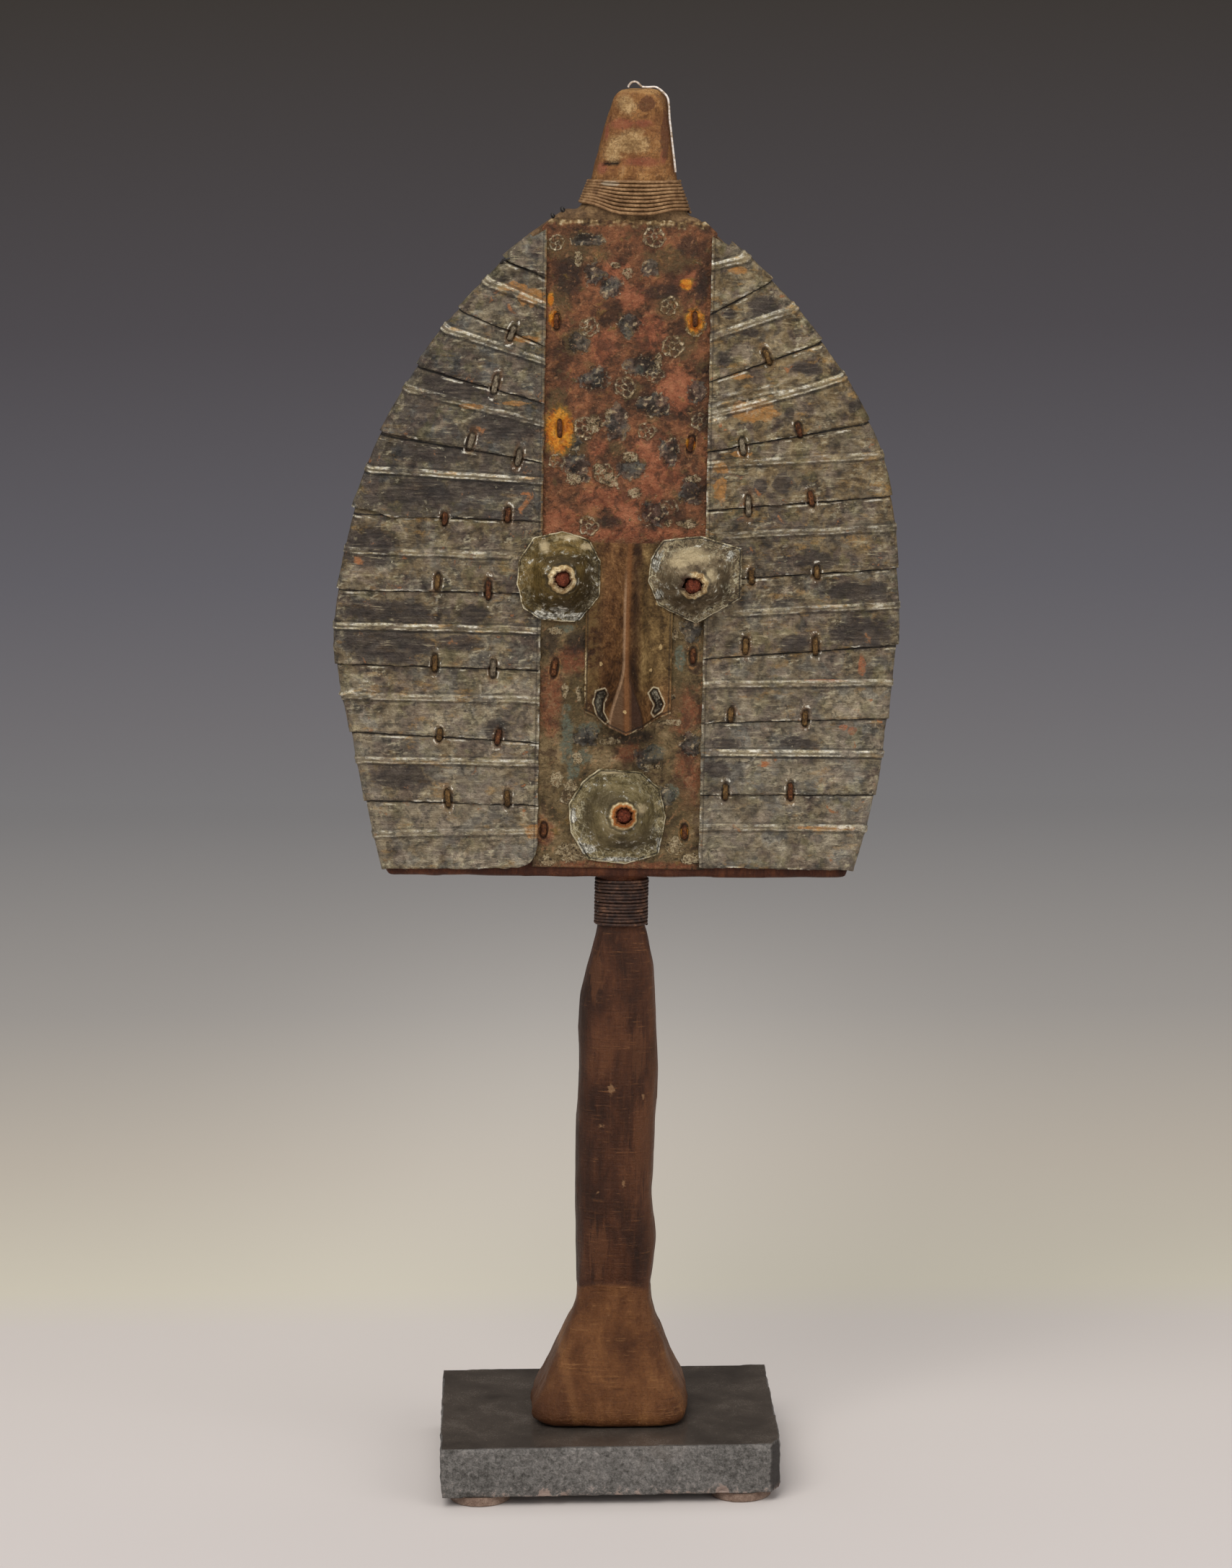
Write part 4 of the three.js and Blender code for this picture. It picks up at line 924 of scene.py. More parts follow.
def stoneLook():
    look = Look("greyStone")
    speck = look.mottle(0.7, 3, 0.7, 1.3)
    crystals = look.mottle(2.0, 5, 0.7, 2.3, 0.5)
    broad = look.mottle(22, 5, 0.6, 3.3, 0.4)
    rough = look.painted("rough")
    top = (broad * 0.6 + speck * 0.4).ramp([
        (0.38, (55, 49, 44)), (0.47, (67, 60, 54)), (0.54, (77, 69, 62)), (0.64, (96, 88, 81)),
    ])
    top = look.cover(top, (speck.ease(0.62, 0.72) * 0.45, (104, 98, 90)))
    front = (crystals * 0.55 + speck * 0.25 + broad * 0.2).ramp([
        (0.38, (62, 59, 55)), (0.46, (94, 91, 87)), (0.52, (116, 112, 108)), (0.58, (136, 131, 126)),
        (0.68, (174, 169, 163)),
    ])
    front = look.cover(
        front,
        (broad.ease(0.52, 0.62) * 0.3, (92, 82, 72)),
        (look.patch("pink", crystals, 1.4, 0.12) * 0.8, (170, 148, 136)),
        # painted shade on the slab's right side
        (look.painted("dark"), (48, 43, 40)),
    )
    color = look.mix(rough, top, front)
    relief = 0.5 * speck + 0.5 * crystals
    roughness = rough.ease(0.0, 1.0, 0.2, 0.8)
    return look.finish(color, roughness, 0, relief * rough.ease(0.0, 1.0, 0.04, 1.0), 0.0012, 0.35)


def feltLook():
    look = Look("feltPad")
    fibre = look.mottle(0.7, 4, 0.7, 1.1, 1.0)
    broad = look.mottle(4, 3, 0.6, 2.1)
    color = (fibre * 0.6 + broad * 0.4).ramp([
        (0.38, (112, 88, 76)), (0.48, (140, 116, 100)), (0.56, (158, 134, 118)),
        (0.66, (182, 160, 144)),
    ])
    return look.finish(color, 0.95, 0, fibre, 0.0007)


finishes = {
    "wood": woodLook(), "sheet": sheetLook(), "copper": copperLook(), "cone": coneLook(),
    "nose": noseLook(), "iron": rustLook(), "winding": windingLook(), "pale": paleWireLook(),
    "black": blackLook(), "stone": stoneLook(), "pad": feltLook(),
}
print("finishes ready")

# carved wood
carving = {
    "skin": 1.3, "rounds": 5, "boardFoot": 219, "boardTop": 484,
    # the knife's cuts are long on the shaft and short on the foot and the knot
    "footTop": 52, "longCut": (9, 9, 26), "shortCut": (8, 8, 12), "cut": 0.55, "smallCut": 0.3,
    "boardWave": 0.35, "step": 55.5, "stepDeep": 0.55, "slotDeep": 1.2, "nickDeep": 0.3,
    "slot": [(-11.0, 498.6), (-6.0, 498.9)],
    # painted areas: x, z, half width, half height
    "areas": {
        "nicked": [
            (-2, 134.5, 1.1, 2.0), (-5.5, 119.2, 0.7, 1.0), (11, 131, 0.6, 1.2), (4, 96, 0.5, 1.2),
            (-7, 92, 0.5, 0.8),
        ],
        "worn": [(11, 112, 3.0, 20), (-6, 68, 3.5, 12), (9, 150, 2.5, 12), (-9, 180, 3, 9)],
        "darkened": [(5.0, 521.6, 3.2, 3.0), (12.2, 511, 1.8, 10), (-9.5, 518, 1.0, 5)],
        "pale": [
            (-2.5, 506.5, 8.5, 4.0), (-3.5, 521.5, 3.4, 4.0), (0.5, 511.5, 3.5, 1.0), (-8, 503, 3, 4),
        ],
        "red": [
            (3.6, 499.8, 6.6, 1.8), (-4.5, 514.0, 4.5, 2.2), (3.5, 514.3, 4.0, 1.6),
            (-10.6, 512, 1.0, 5), (-12, 497, 2.0, 2.4), (11.5, 502, 1.2, 3),
        ],
    },
}


def carveWood():
    wood = remeshed("wood_figure", carving["skin"])
    bmesh.ops.transform(wood, matrix=toPart.inverted(), verts=wood.verts)
    for _ in range(carving["rounds"]):
        bmesh.ops.smooth_vert(
            wood, verts=wood.verts, factor=0.5, use_axis_x=True, use_axis_y=True, use_axis_z=True)
    wood.normal_update()
    paints = newLayers(wood, "hollow", *carving["areas"])
    for vert in wood.verts:
        x, y, z = vert.co
        normal = vert.normal.copy()
        if carving["boardFoot"] <= z <= carving["boardTop"]:
            move = carving["boardWave"] * wave(x, z, 13, y / 9)
        else:
            cut = carving["longCut" if carving["footTop"] < z < carving["boardFoot"] else "shortCut"]
            at = Vector((x / cut[0], y / cut[1], z / cut[2]))
            small = noise.noise(at * 2.3 + Vector((5, 0, 0)))
            move = carving["cut"] * noise.noise(at) + carving["smallCut"] * small
        front = smooth(-normal.y, 0.2, 0.7)
        if front > 0:
            # the step cut where the shaft meets the foot
            move -= carving["stepDeep"] * hump(z - carving["step"] + 0.012 * x * x, 1.2) * front * (z < 70)
            for name, areas in carving["areas"].items():
                vert[paints[name]] = patchAt(x, z, areas) * front
            slot = front * smooth(lineAway(x, z, carving["slot"])[0], 1.0, 0.3)
            # the slot's mask, painted dark as its shade
            vert[paints["hollow"]] = slot
            nick = smooth(vert[paints["nicked"]], 0.2, 0.5)
            move -= carving["slotDeep"] * slot + carving["nickDeep"] * nick
        if z < 1.2:
            # the sole stays flat
            move = min(move, 0)
        vert.co += normal * move
    addPiece(wood, "carvedFigure", ["wood_figure"], "wood")


carveWood()
print("wood carved")

# staples, and the dents they are driven into
staples = {
    "wing": [
        (-45.8, 433.2), (-51.9, 413.3), (-61.1, 391.1), (-42.5, 385.2), (-71.1, 360.8), (-46.4, 362.7),
        (-73.3, 335.6), (-53.6, 333.1), (-74.1, 303.8), (-51.2, 302.2), (-72.0, 275.5), (-48.8, 275.1),
        (-68.3, 250.3), (-44.8, 250.7),
        (53.2, 425.9), (44.6, 391.0), (66.3, 397.9), (47.3, 367.8), (71.7, 371.3), (49.1, 340.1),
        (74.7, 342.3), (47.5, 312.8), (74.9, 313.3), (42.5, 285.6), (71.7, 284.7), (40.9, 254.9),
        (66.5, 255.4),
    ],
    "panel": [
        (-28.5, 438.0), (-26.7, 396.7), (25.0, 439.8), (24.4, 391.5), (-27.2, 302.9), (27.0, 308.5),
        (-30.4, 238.3), (25.1, 238.5),
    ],
    "half": 3.4, "wire": 1.0, "proud": 0.85, "curl": 2.2, "steps": 16, "wingSeat": 1.5, "panelSeat": 1.15,
    "dentWide": 1.7, "dentTall": 4.2, "dentDeep": 0.8, "dentRound": 2.4, "dentRim": 0.18,
    "silver": [
        (-51.2, 302.2), (-42.5, 385.2), (-45.8, 433.2), (47.3, 367.8), (-61.1, 391.1), (-51.9, 413.3),
        (44.6, 391.0),
    ],
    "golden": [
        (-73.3, 335.6), (-74.1, 303.8), (71.7, 284.7), (-72.0, 275.5), (40.9, 254.9), (-68.3, 250.3),
        (-44.8, 250.7), (49.1, 340.1), (74.7, 342.3), (47.5, 312.8), (74.9, 313.3), (42.5, 285.6),
        (53.2, 425.9),
    ],
}

# strips on the wings
strips = {
    "thick": 0.5, "lap": 2.5, "fold": 6, "bend": 1.0, "overPanel": 2.6, "offPanel": 5.0,
    "panelStep": 0.6, "ragged": 0.45, "torn": 0.3, "ribHeight": 0.8, "ribHalf": 0.95, "ribZone": 2.4,
    "column": 0.75, "row": 0.75, "ribRow": 0.28,
}
wings = {
    "left": {
        "side": -1, "edge": 32.8, "corner": 9,
        "seams": [
            (0.972, 0.962), (0.903, 0.925), (0.8, 0.85), (0.715, 0.766), (0.627, 0.667), (0.539, 0.546),
            (0.431, 0.431), (0.316, 0.3185), (0.206, 0.2157), (0.1105, 0.1117), (0.0145, 0.006),
        ],
        "ribs": [
            None, (0.8585, 0.891), (0.776, 0.8206), (0.684, 0.732), (0.599, 0.6115), (0.486, 0.49),
            (0.3755, 0.376), (0.27, 0.27), (0.174, 0.1736), (0.071, 0.061),
        ],
        "glow": [0, 0.8, 0.85, 0.6, 1.0, 0.75, 1.0, 0.6, 0.65, 0.55],
        "stain": [0.1, 0.1, 0.2, 0.25, 0.28, 0.15, 0.15, 0.0, 0.1, 0.0],
        "warm": [0.2, 0.3, 0.1, 0.05, 0.2, 0.6, 0.5, 0.5, 0.6, 0.5],
    },
    "right": {
        "side": 1, "edge": 30.9, "corner": 0,
        "seams": [
            (0.965, 0.955), (0.852, 0.9), (0.751, 0.8125), (0.647, 0.6965), (0.56, 0.586),
            (0.455, 0.4775), (0.337, 0.362), (0.24, 0.251), (0.131, 0.134), (0.019, 0.017),
        ],
        "ribs": [
            (0.921, 0.933), (0.816, 0.859), (0.7, 0.759), (0.628, 0.6455), (0.5215, 0.5375),
            (0.403, 0.4225), (0.298, 0.305), (0.195, 0.1965), (0.081, 0.083),
        ],
        "glow": [0.8, 0.7, 0.8, 0.65, 0.5, 0.6, 0.6, 1.0, 0.6],
        "stain": [-0.2, -0.15, 0.0, 0.1, 0.2, 0.1, -0.2, -0.7, -0.6],
        "warm": [0.9, 0.8, 1.0, 0.95, 0.8, 0.5, 0.45, 0.25, 0.3],
    },
}
# patches on the strips: x, z, half width, half height
wingPatches = {
    "stain": [
        (-81.2, 370.7, 15.9, 6.2), (-74.4, 385.8, 15.0, 3.5), (-48.2, 396.8, 14.1, 5.3),
        (-91.2, 323.7, 22.1, 4.4), (-92.0, 310.3, 19.4, 6.2), (-63.8, 311.7, 7.9, 3.1),
        (-87.5, 258.5, 14.1, 4.4), (-59.5, 323.4, 8.3, 3.5), (-49.2, 278.1, 5.3, 4.4),
        (-70, 412, 12, 6), (-55, 374, 14, 4), (-100, 350, 10, 8), (90.3, 335.0, 14.1, 4.0),
        (92.5, 320.0, 13.2, 6.6), (66.2, 314.1, 5.3, 3.5), (37.3, 263.5, 5.3, 3.5),
        (39.7, 274.4, 6.2, 3.0), (68.9, 274.9, 7.1, 2.6), (38.3, 442.4, 2.5, 2.5),
        (46.8, 434.8, 3.5, 1.9), (37.0, 424.6, 2.6, 2.3), (62.4, 404.5, 1.8, 2.5),
        (69.4, 421.7, 5.3, 2.6), (51.4, 444.8, 5.3, 4.4), (86.9, 406.7, 2.6, 2.3),
        (60.0, 376.8, 3.5, 3.5), (52.1, 375.8, 2.6, 2.6), (75, 347, 9, 4),
    ],
    "light": [
        (-64.4, 225.6, 17.7, 5.3), (64.7, 230.7, 22.1, 4.4), (80, 262, 14, 5), (-70, 345, 16, 6),
        (-70.5, 284.0, 12, 7), (60, 322, 12, 5), (55, 300, 14, 4), (-45, 320, 7, 4), (75, 388, 12, 5),
        (-60, 437, 7, 5), (90, 365, 10, 6), (-40, 292, 7, 7), (48, 452, 6, 8), (90, 292, 12, 7),
        (-100, 340, 8, 4),
    ],
    "rust": [
        (-38.5, 447.5, 6.0, 4.0), (-45, 451, 6, 1.8), (-40.0, 431.0, 5.3, 1.2),
        (-34.4, 237.9, 2.6, 2.6), (43.3, 418.1, 4.4, 1.2), (83.1, 241.0, 10.6, 1.0),
        (41, 459, 3.4, 1.6), (36, 383, 3, 3), (48, 405, 9, 4), (42, 388, 6, 1.2), (-45, 406, 6, 1.0),
        (-62, 404.5, 5, 1.0), (36, 374, 3, 5),
    ],
    "copper": [
        (93.3, 305.7, 1.7, 4.0), (86.2, 281.2, 2.0, 1.4), (90.0, 280.0, 1.6, 1.4),
        (80.7, 299.7, 8, 0.7),
    ],
}
# creases: the line, half width, height, how bright they are rubbed and painted with highlight
creases = [
    ([(31.5, 403.2), (40.5, 405.8), (50.0, 408.5), (58.0, 411.2)], 0.7, 0.8, 1.0),
    ([(31.8, 406.3), (40.5, 408.7), (49.9, 410.8), (63.7, 413.4)], 0.6, 0.8, 1.0),
    ([(33.0, 409.6), (42.0, 411.9), (52.0, 414.0), (60.0, 415.6)], 0.5, 0.6, 0.8),
    ([(40.0, 404.2), (49.0, 406.2)], 0.5, 0.5, 0.8),
    ([(31.6, 400.6), (38.0, 402.4)], 0.8, 0.6, 1.0),
    ([(40.8, 400.5), (41.3, 411.0)], 0.35, -0.45, 0.1),
    ([(45.8, 403.5), (46.0, 410.5)], 0.35, 0.3, 0.6),
    ([(-110.0, 291.0), (-101.0, 293.4), (-93.0, 291.0)], 0.8, 0.9, 1.0),
    ([(-109.0, 295.0), (-101.0, 296.3), (-95.0, 293.6)], 0.6, 0.6, 0.8),
    ([(-106.0, 289.0), (-98.0, 290.4)], 0.5, 0.5, 0.8),
    ([(-72.0, 262.5), (-72.4, 255.5)], 0.4, -0.3, 0.1),
    ([(-59.0, 266.0), (-58.6, 258.0)], 0.4, -0.3, 0.2),
    ([(-60.0, 291.0), (-58.0, 281.0)], 0.5, 0.35, 0.3),
    ([(-56.5, 296.0), (-55.0, 285.0)], 0.4, 0.3, 0.4),
    ([(47.5, 262.5), (54.0, 271.5)], 0.4, 0.35, 0.6),
    ([(46.0, 258.0), (53.5, 264.5), (58.0, 264.2)], 0.4, 0.35, 0.6),
    ([(38.8, 303.5), (38.4, 311.0)], 0.3, -0.3, 0.15),
    ([(77.5, 300.5), (80.5, 308.5)], 0.4, -0.3, 0.1),
    ([(-73.5, 331.0), (-73.8, 320.5)], 0.35, -0.3, 0.35),
    ([(-52.0, 380.0), (-40.0, 376.5)], 0.35, 0.25, 0.35),
    ([(88.0, 327.4), (103.0, 330.0)], 0.45, 0.3, 0.9),
    ([(85.0, 241.2), (98.0, 240.8)], 0.6, 0.3, 0.9),
    ([(-88.0, 444.0), (-78.0, 430.0)], 0.4, 0.2, 0.3),
    ([(45.5, 316.0), (45.6, 302.0)], 0.35, -0.3, 0.25),
    ([(58.5, 391.5), (58.3, 383.0)], 0.35, -0.3, 0.2),
]
# one strip's lower seam wanders
wavyStrip = ("left", 4)
wavySeam = [
    (-112.5, -1.0), (-108.5, -1.6), (-102.8, -1.9), (-96.6, -0.8), (-91.4, 1.2), (-87.8, 0.5),
    (-83.4, 0.8), (-70, 0),
]
allSeams = [
    (wing["side"], wing["edge"], seam) for wing in wings.values() for seam in wing["seams"][1:-1]
]


def seamTilt(x, z):
    # which way the nearest seam runs
    best, tilt = 1e9, 0
    for side, edge, (inner, outer) in allSeams:
        if side * x > 0:
            width = leafReach(side, outer) - edge
            away = abs(heightAt(between(inner, outer, (abs(x) - edge) / width)) - z)
            if away < best:
                best, tilt = away, math.atan2(heightAt(outer) - heightAt(inner), side * width)
    return tilt if abs(tilt) < math.pi / 2 else tilt - math.copysign(math.pi, tilt)


# each staple's place, tilt and length
allStaples = [
    (x, z, tilt(x, z) + 0.22 * wave(x, z, 9, 12.0), 0.95 + 0.35 * wave(x, z, 7, 14.0))
    for spots, tilt in ((staples["wing"], seamTilt), (staples["panel"], lambda x, z: 0)) for x, z in spots
]


def stapleDent(x, z):
    # 0 in the middle of the nearest dent, 1 at its rim, and how deep the metal is pressed there
    least, power = 3, staples["dentRound"]
    for sx, sz, tilt, long in allStaples:
        if abs(x - sx) < 7 and abs(z - sz) < 14:
            across = (x - sx) * math.cos(tilt) + (z - sz) * math.sin(tilt)
            along = ((z - sz) * math.cos(tilt) - (x - sx) * math.sin(tilt)) / long
            wide, tall = abs(across) / staples["dentWide"], abs(along) / staples["dentTall"]
            least = min(least, (wide ** power + tall ** power) ** (1 / power))
    pressed = staples["dentDeep"] * smooth(least, 1.15, 0.7)
    return least, pressed - staples["dentRim"] * hump(least - 1.35, 0.2)


# the ribs are pressed flat under the eyes' sheets: x, z, half width, half height
pressedAreas = [(-25.8, 339.3, 33, 38), (27.5, 338.9, 36.5, 35.5)]


def underEye(x, z):
    away = min(math.hypot((x - px) / wide, (z - pz) / tall) for px, pz, wide, tall in pressedAreas)
    return smooth(away, 0.52, 0.66)


def creaseAt(x, z):
    # how high the creases stand here, and how bright they are rubbed and painted with highlight
    high, rubbedShine = 0, 0
    for line, wide, tall, bright in creases:
        if abs(x - line[0][0]) < 34 and abs(z - line[0][1]) < 18:
            away, along = lineAway(x, z, line)
            if away < 3 * wide:
                ends = min(smooth(along, 0, 0.12), smooth(along, 1, 0.88)) * 0.8 + 0.2
                high += tall * hump(away, wide) * ends
                rubbedShine = max(rubbedShine, bright * hump(away, wide * 0.9) * ends)
    return high, rubbedShine


def wavyAt(x):
    if not wavySeam[0][0] <= x <= wavySeam[-1][0]:
        return 0
    return rowAt(wavySeam, x)[1]


def makeStrip(sideName, number):
    wing = wings[sideName]
    side, edge = wing["side"], wing["edge"]
    bend, thick, fold = strips["bend"], strips["thick"], strips["fold"]
    lap = strips["lap"] / board["height"] if number else 0
    top = [share + lap for share in wing["seams"][number]]
    bottom = wing["seams"][number + 1]
    rib = wing["ribs"][number]
    tall = board["height"] * min(top[0] - bottom[0], top[1] - bottom[1])
    rise = (thick + fit) / (1 - 2 * strips["lap"] / tall)
    seed = number * 7.3 + (50 if side > 0 else 0)
    widest = max(leafReach(side, top[1]), leafReach(side, bottom[1])) - edge
    turned = math.pi / 2 * (bend + 1)
    corner = wing["corner"] if number == len(wing["ribs"]) - 1 else 0

    # rows lie closer together along the rib
    zone = strips["ribZone"] / tall
    parts = [0.5, 0, 0.5]
    if rib:
        ribDown = 0.5 * sum((high - middle) / (high - low) for high, middle, low in zip(top, rib, bottom))
        parts = [ribDown - zone, 2 * zone, 1 - ribDown - zone]
    first, middle, last = (share * tall for share in parts)
    counts = [max(first / strips["row"], 3), middle / strips["ribRow"], max(last / strips["row"], 3)]
    rows = round(sum(counts))
    firstRow, lastRow = counts[0] / sum(counts), 1 - counts[2] / sum(counts)

    def downAt(row, ribAt):
        if not rib:
            return row
        low, high = ribAt - zone, ribAt + zone
        if row < firstRow:
            return row / firstRow * low
        if row < lastRow:
            return between(low, high, (row - firstRow) / (lastRow - firstRow))
        return between(high, 1, (row - lastRow) / (1 - lastRow))

    def place(u, row):
        middle = 0
        for _ in range(2):
            # the length of this row depends on where it meets the outline
            shareOut = between(top[1], bottom[1], downAt(row, middle) if middle else row)
            reach = leafReach(side, shareOut) - edge - bend
            t = min(u * (reach + turned + fold - bend) / reach, 1)
            if rib:
                high, low = between(*top, t), between(*bottom, t)
                middle = (high - between(*rib, t)) / (high - low)
        v = downAt(row, middle)
        shareOut = between(top[1], bottom[1], v)
        normal = leafNormal(side, shareOut)
        start = Vector((side * edge, heightAt(between(top[0], bottom[0], v))))
        end = Vector((side * leafReach(side, shareOut), heightAt(shareOut))) - normal * bend
        flat = (end - start).length
        run = u * (flat + turned + fold - bend)
        t = min(run / flat, 1)
        spot = start.lerp(end, t)
        x, z = spot
        # the cut lower edge is never quite straight
        ragged = strips["ragged"] * wave(x, 0, 7, seed) + strips["torn"] * wave(x, 0, 2.2, seed)
        if (sideName, number) == wavyStrip:
            ragged -= wavyAt(x)
        z += ragged * smooth(v, 0.7, 1)
        if run < corner:
            z += (corner - math.sqrt(max(corner ** 2 - (corner - run) ** 2, 0))) * smooth(v, 0.5, 1)
        if run < 2:
            x += side * 0.4 * wave(z, 0, 5, seed + 2) * (1 - run / 2)
        off = fit + thick + rise * v
        off += (fit + strips["panelStep"]) * smooth(run, strips["offPanel"], strips["overPanel"])
        off += max(hammered(x, z) + crumpled(x, z, seed), 0.35 - off)
        off += 0.3 * smooth(v, 0.93, 1) * max(wave(x, 0, 11, seed + 4), 0)
        ribOff, size = 9, 0
        if rib:
            # a folded rib: a low swell with a sharp line along each side
            ribOff = z - heightAt(between(*rib, t)) - 0.3 * wave(x, 0, 12, seed + 5)
            size = underEye(x, z)
            lines = 0.4 * hump(abs(ribOff) - strips["ribHalf"], 0.35)
            off += strips["ribHeight"] * size * (0.6 * hump(ribOff, 1.5) + lines)
        crease, rubbedShine = creaseAt(x, z)
        dent, deep = stapleDent(x, z)
        off += crease - deep
        paint = {name: patchAt(x, z, patches) for name, patches in wingPatches.items()}
        paint.update({
            "shift": seed,
            "warm": wing["warm"][number],
            "stain": max(wing["stain"][number], paint["stain"]),
            "glow": wing["glow"][number] * size if rib else 0,
            "ribOff": ribOff,
            "crease": rubbedShine,
            "lap": v * tall - strips["lap"] if number else 9,
            "hem": (1 - v) * tall,
            "run": run,
            "dent": dent,
            "rim": flat - run,
        })
        if run <= flat:
            return Vector((x, faceAt(x) - off, z)), paint
        # round the board's edge, then flat on its side
        radius = bend + off
        turn = min((run - flat) / turned, 1) * math.pi / 2
        out = normal * (radius * math.sin(turn))
        depth = faceAt(end.x) + bend - radius * math.cos(turn) + max(run - flat - turned, 0)
        return Vector((end.x + out.x, depth, end.y + out.y + z - spot.y)), paint

    columns = max(round((widest + 8) / strips["column"]), 12)
    names = f"{sideName}Strip{number + 1:02d}", [f"{sideName}_strip_{number + 1:02d}"]
    addPiece(makeSheet(columns, rows, place), *names, "sheet", thick)


for sideName, wing in wings.items():
    for number in range(len(wing["seams"]) - 1):
        makeStrip(sideName, number)
print("wing strips laid")

